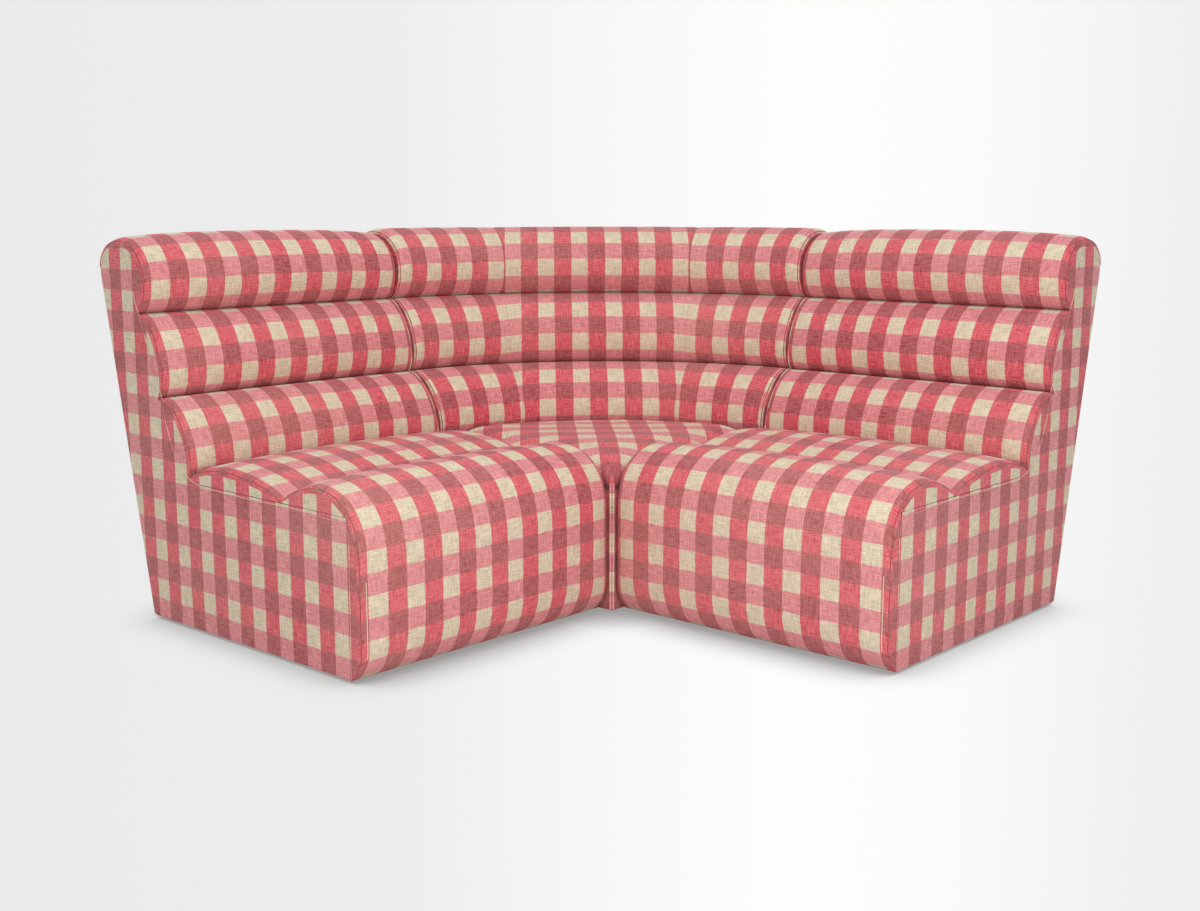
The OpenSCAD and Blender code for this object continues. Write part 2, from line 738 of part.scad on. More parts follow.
// Covers of the corner unit
function corner_side_profile() = concat(
    [[front_stand, glide_h], [front_stand, corner_deck_h - soft_gap], [seat_d, corner_deck_h - soft_gap]],
    back_line(0),
    [side_brow, shoulder, [rear_y(glide_h), glide_h]]
);
module corner_side() {
    color(check_red) difference() {
        left_facet() sideways(side_s, side_t) polygon(corner_side_profile());
        left_facet() link_pockets(side_s, keeper_foot - pocket_gap, link_h + link_lift + pocket_gap);
        right_half(soft_gap / 2);
    }
}
module corner_rear_panel() {
    color(check_rose) turned(gable_s + soft_gap) polygon(rear_profile());
}
module corner_dust_cover() {
    color(web_black) difference() {
        intersection() {
            between_sides(bay_s);
            from_tip() translate([0, 0, glide_h])
                cylinder(r = inner_rear_y(glide_h) - front_stand, h = dust_t, $fn = turned_fn);
        }
        rib_slots(rib_front);
    }
}
module corner_glides() {
    color(web_black) {
        both_facets() for (y = [glide_y0 + front_stand, glide_y1])
            translate([gable_s + glide_d / 2, y, 0]) glide();
        for (a = rib_as) at_angle(a) translate([0, glide_y1, 0]) glide();
    }
}
module keepers() {
    color(steel) difference() {
        translate([-unit_w, 0, 0]) link_row() keeper_profile();
        screw_holes(gable_s - link_t, link_t, keeper_screw_z);
    }
}

left_unit() gables();  // left_gables
left_unit() seat_rails();  // left_seat_rails
left_unit() back_rails();  // left_back_rails
left_unit() front_board();  // left_front_board
left_unit() seat_springs();  // left_seat_springs
left_unit() spring_clips();  // left_spring_clips
left_unit() seat_felt();  // left_seat_felt
left_unit() back_webbing();  // left_back_webbing
left_unit() color(check_red) straight_roll("front");  // left_front_roll
left_unit() color(check_rose) straight_roll("rear");  // left_rear_roll
left_unit() color(check_red) straight_roll("low");  // left_lower_bolster
left_unit() color(check_rose) straight_roll("middle");  // left_middle_bolster
left_unit() color(check_red) straight_roll("top");  // left_top_bolster
left_unit() outer_side();  // left_outer_side
left_unit() inner_side();  // left_inner_side
left_unit() rear_panel();  // left_rear_panel
left_unit() dust_cover();  // left_dust_cover
left_unit() glides();  // left_glides
left_unit() link_hooks();  // left_link_hooks
left_unit() hook_screws();  // left_link_screws
right_unit() gables();  // right_gables
right_unit() seat_rails();  // right_seat_rails
right_unit() back_rails();  // right_back_rails
right_unit() front_board();  // right_front_board
right_unit() seat_springs();  // right_seat_springs
right_unit() spring_clips();  // right_spring_clips
right_unit() seat_felt();  // right_seat_felt
right_unit() back_webbing();  // right_back_webbing
right_unit() color(check_red) straight_roll("front");  // right_front_roll
right_unit() color(check_rose) straight_roll("rear");  // right_rear_roll
right_unit() color(check_red) straight_roll("low");  // right_lower_bolster
right_unit() color(check_rose) straight_roll("middle");  // right_middle_bolster
right_unit() color(check_red) straight_roll("top");  // right_top_bolster
right_unit() outer_side();  // right_outer_side
right_unit() inner_side();  // right_inner_side
right_unit() rear_panel();  // right_rear_panel
right_unit() dust_cover();  // right_dust_cover
right_unit() glides();  // right_glides
right_unit() link_hooks();  // right_link_hooks
right_unit() hook_screws();  // right_link_screws
corner_gables();
corner_ribs();
corner_post();
corner_seat_rails();
corner_back_rails();
corner_seat_webbing();
corner_back_webbing();
corner_seat_pad();
color(check_red) corner_roll("low");  // corner_lower_bolster
color(check_rose) corner_roll("middle");  // corner_middle_bolster
color(check_red) corner_roll("top");  // corner_top_bolster
corner_side();  // corner_left_side
mirror([1, 0, 0]) corner_side();  // corner_right_side
corner_rear_panel();
corner_dust_cover();
corner_glides();
both_facets() keepers();  // corner_link_keepers
both_facets() keeper_screws();  // corner_link_screws
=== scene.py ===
"""Dresses a modular corner sofa: two armless units hooked to a quarter-round corner unit.

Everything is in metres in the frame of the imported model. Each cover is a mesh that bmesh operators
start and that is then laid to the same sections as the solids. Its map of checks is measured along
the cloth, so that the gingham bends over the rolls at its true scale.
"""

import json
import logging
import math
from dataclasses import dataclass
from enum import Enum
from typing import Callable, Optional

import bmesh
import bpy
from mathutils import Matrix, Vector, noise


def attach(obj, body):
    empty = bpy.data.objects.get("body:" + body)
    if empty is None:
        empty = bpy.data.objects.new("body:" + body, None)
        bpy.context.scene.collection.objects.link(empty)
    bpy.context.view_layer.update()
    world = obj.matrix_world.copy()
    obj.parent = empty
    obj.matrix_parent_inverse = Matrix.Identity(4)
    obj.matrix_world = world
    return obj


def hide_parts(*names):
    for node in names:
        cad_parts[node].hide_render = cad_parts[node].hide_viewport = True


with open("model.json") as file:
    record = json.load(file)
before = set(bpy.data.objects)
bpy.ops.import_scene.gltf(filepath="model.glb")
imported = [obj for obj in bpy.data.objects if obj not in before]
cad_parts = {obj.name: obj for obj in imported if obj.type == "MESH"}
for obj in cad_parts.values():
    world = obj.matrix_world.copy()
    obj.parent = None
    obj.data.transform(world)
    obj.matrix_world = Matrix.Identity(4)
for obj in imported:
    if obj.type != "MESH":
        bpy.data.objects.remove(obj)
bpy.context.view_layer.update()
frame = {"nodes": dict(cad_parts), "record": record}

LOG = logging.getLogger("corner_sofa")

Point = tuple[float, float]
SIN45 = math.sqrt(0.5)
FACE_STEPS = 4
NOSE_POWER = 2.25
VALLEY_POWER = 1.45
REAR_ROLL_POWER = 1.8
REAR_ROLL_SINK = 0.002
CREST_SETBACK = 0.15
TOP_TURN_SHARE = 0.44
TOP_CREST_SHARE = 0.53


class Roll(Enum):
    """The padded rolls of a unit, from the hem of the seat up to the top of the back."""

    FRONT = "front_roll"
    REAR = "rear_roll"
    LOWER = "lower_bolster"
    MIDDLE = "middle_bolster"
    TOP = "top_bolster"


def hump(t: float, power: float) -> float:
    """Height of a rounded hump of height 1 at place t, from -1 to 1."""
    return max(0.0, 1 - abs(t) ** power) ** (1 / power)


@dataclass(frozen=True)
class SofaSizes:
    """The driving sizes of the sofa, in metres, as they are in the solids."""

    unit_w: float = 0.750
    unit_gap: float = 0.004
    glide_h: float = 0.006
    base_d: float = 0.788
    back_lean: float = 0.164
    top_h: float = 0.902
    shoulder_drop: float = 0.082
    deck_h: float = 0.344
    front_roll_rise: float = 0.068
    front_roll_d: float = 0.276
    front_roll_t: float = 0.052
    hem_r: float = 0.084
    nose_d: float = 0.155
    nose_rise: float = 0.142
    rear_roll_rise: float = 0.064
    foot_t: float = 0.161
    low_crease_share: float = 0.326
    low_crease_t: float = 0.162
    top_crease_share: float = 0.667
    top_crease_t: float = 0.125
    side_drop: float = 0.052
    side_top_t: float = 0.112
    top_bolster_t: float = 0.203
    low_bulge: float = 0.070
    middle_bulge: float = 0.068
    side_t: float = 0.012
    crown: float = 0.012
    edge_d: float = 0.014
    edge_w: float = 0.026
    corner_deck_drop: float = 0.044
    pad_t: float = 0.090
    pad_edge_t: float = 0.016
    pad_edge_w: float = 0.096
    pad_back_gap: float = 0.032
    crease_w: float = 0.006
    front_stand: float = 0.005
    brow_share: float = 0.45
    soft_gap: float = 0.0003

    @property
    def body_w(self) -> float:
        """Width of a straight unit without its half of the gap."""
        return self.unit_w - self.unit_gap / 2

    @property
    def shoulder_h(self) -> float:
        """Height of the shoulder of the rear."""
        return self.top_h - self.shoulder_drop

    @property
    def side_h(self) -> float:
        """Height of the top of the side panels."""
        return self.top_h - self.side_drop

    @property
    def corner_deck_h(self) -> float:
        """Height of the seat deck of the corner unit."""
        return self.deck_h - self.corner_deck_drop

    def rear_y(self, z: float) -> float:
        """Depth of the rear face at height z."""
        return self.base_d + self.back_lean * z / self.shoulder_h

    @property
    def foot(self) -> Point:
        """The foot of the back, in depth and height."""
        return (self.base_d - self.foot_t, self.deck_h)

    def crease(self, share: float, thickness: float) -> Point:
        """A crease of the back at a share of the way up from deck to crest."""
        z = self.deck_h + (self.top_h - self.deck_h) * share
        return (self.rear_y(z) - thickness, z)

    @property
    def low_crease(self) -> Point:
        """The crease between the lower and the middle bolster."""
        return self.crease(self.low_crease_share, self.low_crease_t)

    @property
    def top_crease(self) -> Point:
        """The crease between the middle and the top bolster."""
        return self.crease(self.top_crease_share, self.top_crease_t)

    @property
    def side_top(self) -> Point:
        """The front end of the top of the side panels."""
        return (self.rear_y(self.side_h) - self.side_top_t, self.side_h)

    @property
    def side_brow(self) -> Point:
        """The rear end of the top of the side panels."""
        return (self.rear_y(self.side_h) - self.side_top_t * (1 - self.brow_share), self.side_h)

    @property
    def shoulder(self) -> Point:
        """The shoulder of the rear, in depth and height."""
        return (self.rear_y(self.shoulder_h), self.shoulder_h)

    @property
    def top_front_d(self) -> float:
        """Foremost depth of the top bolster."""
        return self.shoulder[0] - self.top_bolster_t

    @property
    def middle_y(self) -> float:
        """Depth of the middle of the sofa's box behind the tip of the corner unit."""
        front = -(self.unit_w + self.front_stand - self.crown - self.edge_d) * SIN45
        return (front + self.shoulder[0] - self.front_stand) / 2

    def straight_spot(self, x: float, y: float, z: float) -> Vector:
        """Where a place of the left straight unit lies, x from its outer side, y from its front."""
        run, depth = x - self.unit_w, y - self.front_stand
        return Vector(((run - depth) * SIN45, (run + depth) * SIN45 - self.middle_y, z))

    def rounded(self, d: float) -> float:
        """How far the end of a roll is rounded in.

        Args:
            d: Distance from the end.

        Returns:
            The depth by which the cloth lies further in.
        """
        if d >= self.edge_w:
            return 0.0
        return self.edge_d * (1 - math.sqrt(max(0.0, 1 - (1 - d / self.edge_w) ** 2)))

    def drawn(self, d: float, w: float) -> float:
        """How far a crowned roll is drawn in at distance d from the end of a run of length w."""
        return self.crown * max(0.0, 1 - 2 * d / w) ** 3 + self.rounded(d)


@dataclass(frozen=True)
class Sections:
    """Sections of the rolls in depth and height, in order up or back over the visible cloth."""

    sizes: SofaSizes
    fine: int = 12

    def front(self, inset: float) -> list[Point]:
        """From the hem up the face, over the nose and down to the valley.

        Args:
            inset: How far the cloth is drawn in.

        Returns:
            The section's points.
        """
        s = self.sizes
        top = s.deck_h + s.front_roll_rise - inset
        turn = top - s.nose_rise + inset / 2
        sweep = math.acos(1 - (s.front_roll_t - s.soft_gap - inset) / s.hem_r)
        points = []
        for i in range(self.fine):
            a = sweep * (1 - i / self.fine)
            z = s.glide_h + s.hem_r * (math.sin(sweep) - math.sin(a))
            points.append((inset + s.hem_r * (1 - math.cos(a)), z))
        hem_top = s.glide_h + s.hem_r * math.sin(sweep)
        for i in range(FACE_STEPS):
            points.append((inset, hem_top + (turn - hem_top) * i / FACE_STEPS))
        for i in range(2 * self.fine + 1):
            t = math.sin(math.pi / 2 * i / (2 * self.fine))
            points.append((inset + (s.nose_d - inset) * (1 - hump(t, NOSE_POWER)), turn + (top - turn) * t))
        low, run = s.deck_h + s.soft_gap, s.front_roll_d - s.nose_d
        for i in range(1, self.fine + 1):
            t = math.sin(math.pi / 2 * i / self.fine)
            points.append((s.nose_d + run * t, low + (top - low) * hump(t, VALLEY_POWER)))
        return points

    def rear(self, inset: float) -> list[Point]:
        """From the valley behind the front roll over to the foot of the back, its crest set back.

        Args:
            inset: How far the cloth is drawn in.

        Returns:
            The section's points.
        """
        s = self.sizes
        end = s.foot[0] - s.crease_w
        half = (end - s.front_roll_d - s.soft_gap) / 2
        rise = s.rear_roll_rise - REAR_ROLL_SINK - inset
        points = []
        for i in range(4 * self.fine + 1):
            t = -math.cos(math.pi * i / (4 * self.fine))
            y = end - half + half * (t + CREST_SETBACK * (1 - t * t))
            points.append((y, s.deck_h + s.soft_gap + rise * hump(t, REAR_ROLL_POWER)))
        return points

    def bolster(self, p: Point, q: Point, bulge: float) -> list[Point]:
        """A swelling in front of a chord.

        Args:
            p: The chord's lower end.
            q: The chord's upper end.
            bulge: Height of the swelling.

        Returns:
            The section's points.
        """
        start, end = Vector(p), Vector(q)
        along = (end - start).normalized()
        out = Vector((-along.y, along.x))
        start, end = start + along * self.sizes.soft_gap, end - along * self.sizes.soft_gap
        points = []
        for i in range(4 * self.fine + 1):
            a = math.pi * i / (4 * self.fine)
            spot = start.lerp(end, (1 - math.cos(a)) / 2) + out * bulge * math.sin(a)
            points.append((spot.x, spot.y))
        return points

    def top(self, inset: float) -> list[Point]:
        """Out of the top crease, over the top and down to the shoulder of the rear.

        Args:
            inset: How far the cloth is drawn in.

        Returns:
            The section's points.
        """
        s = self.sizes
        low = s.top_crease[1] + s.soft_gap
        crest_h = s.top_h - inset
        front = s.top_front_d + inset
        turn = low + (crest_h - low) * TOP_TURN_SHARE
        crest_y = front + (s.shoulder[0] - front) * TOP_CREST_SHARE
        n = 2 * self.fine
        points = []
        for i in range(n):
            a = math.pi / 2 * i / n
            y = front + (s.top_crease[0] - front) * (1 - math.sin(a))
            points.append((y, low + (turn - low) * (1 - math.cos(a))))
        for i in range(n + 1):
            a = math.pi / 2 * i / n
            y = front + (crest_y - front) * (1 - math.cos(a))
            points.append((y, turn + (crest_h - turn) * math.sin(a)))
        for i in range(1, n + 1):
            t = math.sin(math.pi / 2 * i / n)
            z = s.shoulder_h + (crest_h - s.shoulder_h) * hump(t, NOSE_POWER)
            points.append((crest_y + (s.shoulder[0] - crest_y) * t, z))
        return points

    def of(self, roll: Roll, inset: float) -> list[Point]:
        """The visible section of a roll.

        Args:
            roll: Which roll.
            inset: How far its cloth is drawn in.

        Returns:
            The section's points.
        """
        s = self.sizes
        if roll is Roll.FRONT:
            return self.front(inset)
        if roll is Roll.REAR:
            return self.rear(inset)
        if roll is Roll.LOWER:
            return self.bolster(s.foot, s.low_crease, s.low_bulge - inset)
        if roll is Roll.MIDDLE:
            return self.bolster(s.low_crease, s.top_crease, s.middle_bulge - inset)
        return self.top(inset)

    def lining(self, roll: Roll) -> list[Point]:
        """The hidden back of a roll.

        Args:
            roll: Which roll.

        Returns:
            Its points between the section's upper end and its lower end.
        """
        s = self.sizes
        if roll is Roll.FRONT:
            return [(s.front_roll_d - s.soft_gap, s.deck_h), (s.front_roll_t, s.deck_h)]
        if roll is Roll.REAR:
            end = s.foot[0] - s.crease_w
            return [(end - s.soft_gap, s.deck_h), (s.front_roll_d + 2 * s.soft_gap, s.deck_h)]
        if roll is Roll.TOP:
            return [
                (s.side_brow[0], s.side_brow[1] + s.soft_gap),
                (s.side_top[0], s.side_top[1] + s.soft_gap),
            ]
        return []


def run_lengths(points: list) -> list[float]:
    """Measures the way along a row of points.

    Args:
        points: Points or vectors.

    Returns:
        The length up to each of them.
    """
    lengths = [0.0]
    for a, b in zip(points, points[1:]):
        lengths.append(lengths[-1] + math.dist(a, b))
    return lengths


def shares(count: int) -> list[float]:
    """Equal shares from 0 to 1."""
    return [i / count for i in range(count + 1)]


@dataclass(frozen=True)
class CheckMap:
    """How the gingham lies on a roll: square of one check, and where its rows start."""

    square: float = 0.0475
    row: float = 0.0468
    side_pitch: float = 0.0478
    red_border: float = 0.017
    side_front: float = 0.052
    side_floor: float = 0.0535

    def column(self, x: float) -> float:
        """Column number at distance x from the outer edge of a straight unit."""
        return (x - self.red_border) / self.square

    def side_column(self, y: float) -> float:
        """Column number on a side panel at depth y."""
        return (y - self.side_front) / self.square

    def side_row(self, z: float) -> float:
        """Row number on an upright panel at height z, light where its floor is even."""
        return (z - self.side_floor) / self.side_pitch


CREAM_COLUMN = 0.5
RED_COLUMN = 1.5
ROW_CENTRES: dict[Roll, float] = {
    Roll.FRONT: 0.092,
    Roll.REAR: 0.088,
    Roll.LOWER: 0.0715,
    Roll.MIDDLE: 0.062,
    Roll.TOP: 0.0874,
}


@dataclass(frozen=True)
class PanelPlan:
    """How the checks run across one roll of the corner: a middle panel and two side panels.

    Angles are in degrees from the middle, lengths in metres.
    """

    seam: float
    edge: float
    pitch: float
    middle_row: float
    side_row: float
    last: float = 99.0
    blend: float = 0.0

    def column(self, angle: float, radius: float, square: float, middle: bool) -> float:
        """Column number, parallel in the middle panel and radial at the sides.

        Args:
            angle: Angle about the tip.
            radius: Distance from the tip.
            square: Width of one check.
            middle: Whether the place is in the middle panel.

        Returns:
            The column.
        """
        if not middle:
            return (self.edge - abs(angle)) / self.pitch + 1.0
        reach = min(math.radians(abs(angle)) * radius / square, self.last - RED_COLUMN)
        return math.copysign(reach, angle) + RED_COLUMN

    def row_centre(self, angle: float, middle: bool) -> float:
        """Length along the section where a light row has its centre.

        Args:
            angle: Angle about the tip.
            middle: Whether the place is in the middle panel.

        Returns:
            The length, blended over the seam where the plan asks for it.
        """
        if self.blend == 0:
            return self.middle_row if middle else self.side_row
        share = min(1.0, max(0.0, (abs(angle) - self.seam + self.blend) / (2 * self.blend)))
        return self.middle_row + (self.side_row - self.middle_row) * share


CORNER_PLANS: dict[Roll, PanelPlan] = {
    Roll.LOWER: PanelPlan(20.0, 43.8, 4.5, 0.0845, 0.0785, 6.95, 3.0),
    Roll.MIDDLE: PanelPlan(20.2, 42.6, 3.95, 0.0770, 0.0705, 6.95, 3.0),
    Roll.TOP: PanelPlan(19.95, 42.05, 3.64, 0.1045, 0.0980),
}


class Nodes:
    """Builds the nodes of one material or node group, left to right."""

    def __init__(self, tree: bpy.types.NodeTree) -> None:
        """Starts on a tree."""
        self.tree = tree
        self.step = 0

    def add(self, kind: str, **settings: object) -> bpy.types.Node:
        """Adds a node.

        Args:
            kind: The node's type name.
            **settings: Its properties by name.

        Returns:
            The new node.
        """
        node = self.tree.nodes.new(kind)
        self.step += 1
        node.location = (self.step % 12 * 190, -(self.step // 12) * 260)
        for key, value in settings.items():
            setattr(node, key, value)
        return node

    def put(self, node: bpy.types.Node, socket: str | int, value: object) -> None:
        """Links a socket into a node's input, or sets the input.

        Args:
            node: The node.
            socket: Its input.
            value: A socket, a plain value, or None to leave the input as it is.
        """
        if isinstance(value, bpy.types.NodeSocket):
            self.tree.links.new(value, node.inputs[socket])
        elif value is not None:
            node.inputs[socket].default_value = value

    def chain(self, kind: str, values: tuple, **settings: object) -> bpy.types.NodeSocket:
        """Adds a node and fills its first inputs.

        Args:
            kind: The node's type name.
            values: What goes into its inputs, in order.
            **settings: Its properties by name.

        Returns:
            Its first output.
        """
        node = self.add(kind, **settings)
        for i, value in enumerate(values):
            self.put(node, i, value)
        return node.outputs[0]

    def math(self, operation: str, a: object, b: object = None, c: object = None) -> bpy.types.NodeSocket:
        """One step of arithmetic on values."""
        return self.chain("ShaderNodeMath", (a, b, c), operation=operation)

    def vector(self, operation: str, a: object, b: object) -> bpy.types.NodeSocket:
        """One step of arithmetic on vectors."""
        return self.chain("ShaderNodeVectorMath", (a, b), operation=operation)

    def grey(self, value: object) -> bpy.types.NodeSocket:
        """One value in all three parts of a vector."""
        return self.chain("ShaderNodeCombineXYZ", (value, value, value))

    def mix(self, factor: object, a: object, b: object, blend: str = "MIX") -> bpy.types.NodeSocket:
        """Mixes two colours.

        Args:
            factor: Share of the second colour.
            a: The first colour.
            b: The second colour.
            blend: How the second goes over the first.

        Returns:
            The mixed colour.
        """
        node = self.add("ShaderNodeMix", data_type="RGBA", blend_type=blend)
        for socket, value in ((0, factor), (6, a), (7, b)):
            self.put(node, socket, value)
        return node.outputs[2]

    def remap(self, value: object, lows: Point, highs: Point) -> bpy.types.NodeSocket:
        """Maps a value smoothly from one range to another."""
        values = (value, *lows, *highs)
        return self.chain("ShaderNodeMapRange", values, interpolation_type="SMOOTHSTEP")

    def noise(
        self, vector: object, scale: float, detail: float = 2.0, rough: float = 0.5
    ) -> bpy.types.NodeSocket:
        """Grey noise about 0.5.

        Args:
            vector: Where it is read.
            scale: How fine it is.
            detail: Octaves.
            rough: Share of the finer octaves.

        Returns:
            The noise.
        """
        node = self.add("ShaderNodeTexNoise")
        for key, value in (("Vector", vector), ("Scale", scale), ("Detail", detail), ("Roughness", rough)):
            self.put(node, key, value)
        return node.outputs[0]

    def seen(self) -> bpy.types.NodeSocket:
        """Tells the rays that the eye follows from the light's own.

        Returns:
            1 for a ray of the camera, a mirror or a glass, 0 for the others.
        """
        path = self.add("ShaderNodeLightPath").outputs
        glass = self.math("MAXIMUM", path["Is Glossy Ray"], path["Is Transmission Ray"])
        return self.math("MAXIMUM", path["Is Camera Ray"], glass)


def srgb(code: str) -> tuple[float, float, float, float]:
    """A linear colour from a six-figure hexadecimal code.

    Args:
        code: The code.

    Returns:
        The colour with full alpha.
    """
    parts = [int(code[i : i + 2], 16) / 255 for i in (0, 2, 4)]
    linear = [p / 12.92 if p <= 0.04045 else ((p + 0.055) / 1.055) ** 2.4 for p in parts]
    return (linear[0], linear[1], linear[2], 1.0)


def new_group(name: str, inputs: list[tuple[str, str]], outputs: list[tuple[str, str]]) -> bpy.types.NodeTree:
    """Starts a node group.

    Args:
        name: The group's name.
        inputs: Its input sockets, each as name and kind.
        outputs: Its output sockets.

    Returns:
        The group.
    """
    group = bpy.data.node_groups.new(name, "ShaderNodeTree")
    for in_out, sockets in (("INPUT", inputs), ("OUTPUT", outputs)):
        for label, kind in sockets:
            group.interface.new_socket(label, in_out=in_out, socket_type=kind)
    return group


@dataclass(frozen=True)
class Weave:
    """Threads of the linen, in numbers over one check."""

    yarns: float = 17.0
    run: float = 1.6
    specks: float = 26.0
    threads: int = 19
    drift: float = 0.35
    speck_share: float = 0.9
    weave_share: float = 0.07
    yarn_share: float = 1.25
    wander: float = 7.0
    ragged: float = 0.055
    soft: float = 0.022
    column_edge: float = 0.485
    row_edge: float = 0.5
    gain: float = 0.52
    lift: float = 0.20
    darkest: float = 0.02


def slub_group(w: Weave) -> bpy.types.NodeTree:
    """Threads of a linen-like plain weave: thick and thin yarns both ways, and their height.

    Args:
        w: The weave.

    Returns:
        The node group.
    """
    group = new_group(
        "LinenSlub",
        [("Map", "NodeSocketVector")],
        [("Light", "NodeSocketFloat"), ("Height", "NodeSocketFloat"), ("Drift", "NodeSocketFloat")],
    )
    n = Nodes(group)
    start = n.add("NodeGroupInput").outputs[0]
    warp = n.noise(n.vector("MULTIPLY", start, (w.yarns, w.run, 1.0)), 1.0, 3.0, 0.62)
    weft = n.noise(n.vector("MULTIPLY", start, (w.run, w.yarns, 1.0)), 1.0, 3.0, 0.62)
    fine = n.noise(n.vector("MULTIPLY", start, (w.specks, w.specks, 1.0)), 1.0, 2.0, 0.6)
    split = n.add("ShaderNodeSeparateXYZ")
    turn = 2 * math.pi * w.threads
    n.put(split, 0, n.vector("MULTIPLY", start, (turn, turn, 1.0)))
    weave = n.math("MULTIPLY", n.math("SINE", split.outputs[0]), n.math("SINE", split.outputs[1]))
    both = n.math("ADD", warp, weft)
    threads = n.math("MULTIPLY", weave, w.weave_share)
    speck = n.math("MULTIPLY_ADD", n.math("SUBTRACT", fine, 0.5), w.speck_share, threads)
    light = n.math("MULTIPLY_ADD", n.math("SUBTRACT", both, 1.0), w.yarn_share, speck)
    height = n.math("ADD", n.math("MULTIPLY", weave, 0.25), n.math("MULTIPLY", both, 0.5))
    drift = n.noise(n.vector("MULTIPLY", start, (w.drift, w.drift, 1.0)), 1.0, 2.0)
    end = n.add("NodeGroupOutput")
    for i, value in enumerate((light, height, drift)):
        n.put(end, i, value)
    return group


def check_group(w: Weave) -> bpy.types.NodeTree:
    """Gingham of two yarn colours both ways, from a map of columns and rows of one square each.

    Args:
        w: The weave.

    Returns:
        The node group.
    """
    colours = [(name, "NodeSocketColor") for name in ("Cream", "Rose", "Red", "Wine")]
    group = new_group(
        "Gingham",
        [("Map", "NodeSocketVector"), *colours, ("Light", "NodeSocketFloat")],
        [("Color", "NodeSocketColor"), ("Row", "NodeSocketFloat"), ("Column", "NodeSocketFloat")],
    )
    n = Nodes(group)
    place, cream, rose, red, wine, light = n.add("NodeGroupInput").outputs[:6]
    wander = n.add("ShaderNodeTexNoise")
    n.put(wander, "Vector", n.vector("MULTIPLY", place, (w.wander, w.wander, 1.0)))
    n.put(wander, "Scale", 1.0)
    centred = n.vector("SUBTRACT", wander.outputs[1], (0.5, 0.5, 0.5))
    split = n.add("ShaderNodeSeparateXYZ")
    n.put(split, 0, n.vector("ADD", place, n.vector("MULTIPLY", centred, (w.ragged, w.ragged, 0.0))))
    masks = []
    for out, edge in ((split.outputs[0], w.column_edge), (split.outputs[1], w.row_edge)):
        folded = n.math("PINGPONG", n.math("SUBTRACT", out, 0.5), 1.0)
        masks.append(n.remap(folded, (edge - w.soft, edge + w.soft), (0.0, 1.0)))
    column, row = masks
    colour = n.mix(column, n.mix(row, cream, rose), n.mix(row, red, wine))
    gain = n.grey(n.math("MULTIPLY_ADD", light, w.gain, 1.0))
    lit = n.vector("ADD", n.vector("MULTIPLY", colour, gain), n.grey(n.math("MULTIPLY", light, w.lift)))
    end = n.add("NodeGroupOutput")
    for i, value in enumerate((n.vector("MAXIMUM", lit, (w.darkest,) * 3), row, column)):
        n.put(end, i, value)
    return group


@dataclass(frozen=True)
class FabricLook:
    """A dyed cloth: the colours of its four check cells, how it takes the light, and the colours of the
    painted shade in its creases and welts.
    """

    cream: str = "D9CBAF"
    rose: str = "DC898D"
    red: str = "D75D68"
    wine: str = "B05A5E"
    faded: str = "E3C9B2"
    # Painted shade: the colour multiplied into the cloth in creases and hollows, where shade falls.
    crease: str = "8A3C40"
    # Painted shade: the colour that darkens the welts' cloth in seams and joins.
    welt_shade: str = "5E1F25"
    roughness: float = 0.86
    roughness_spread: float = 0.06
    specular: float = 0.25
    sheen: float = 0.12
    sheen_roughness: float = 0.5
    bump: float = 0.0011
    bump_strength: float = 0.55
    painted_shade_reach: float = 0.03
    painted_shade_share: float = 0.45
    fade_scale: float = 2.4
    fade_share: float = 0.12


@dataclass(frozen=True)
class PlainLook:
    """A finish of one base colour with a second one drifting through it."""

    slot: str
    base: str
    second: str
    roughness: float
    metallic: float
    grain: tuple[float, float, float]
    bump: float


PLAIN_LOOKS: tuple[PlainLook, ...] = (
    PlainLook("plywood", "CDB488", "B1905E", 0.55, 0.0, (60.0, 60.0, 340.0), 0.0003),
    PlainLook("timber", "D9BC8C", "B98F5A", 0.6, 0.0, (18.0, 18.0, 160.0), 0.0006),
    PlainLook("spring_steel", "84878C", "5D6065", 0.34, 1.0, (90.0, 90.0, 90.0), 0.0001),
    PlainLook("link_steel", "A9ACB0", "888C92", 0.38, 1.0, (30.0, 30.0, 240.0), 0.0001),
    PlainLook("felt", "57524D", "3D3935", 0.95, 0.0, (140.0, 140.0, 140.0), 0.0012),
    PlainLook("webbing", "2A2726", "171514", 0.8, 0.0, (420.0, 420.0, 420.0), 0.0006),
    PlainLook("dust_cloth", "1E1D1D", "121111", 0.92, 0.0, (500.0, 500.0, 500.0), 0.0003),
    PlainLook("glide_plastic", "262626", "1A1A1A", 0.48, 0.0, (240.0, 240.0, 240.0), 0.0001),
)


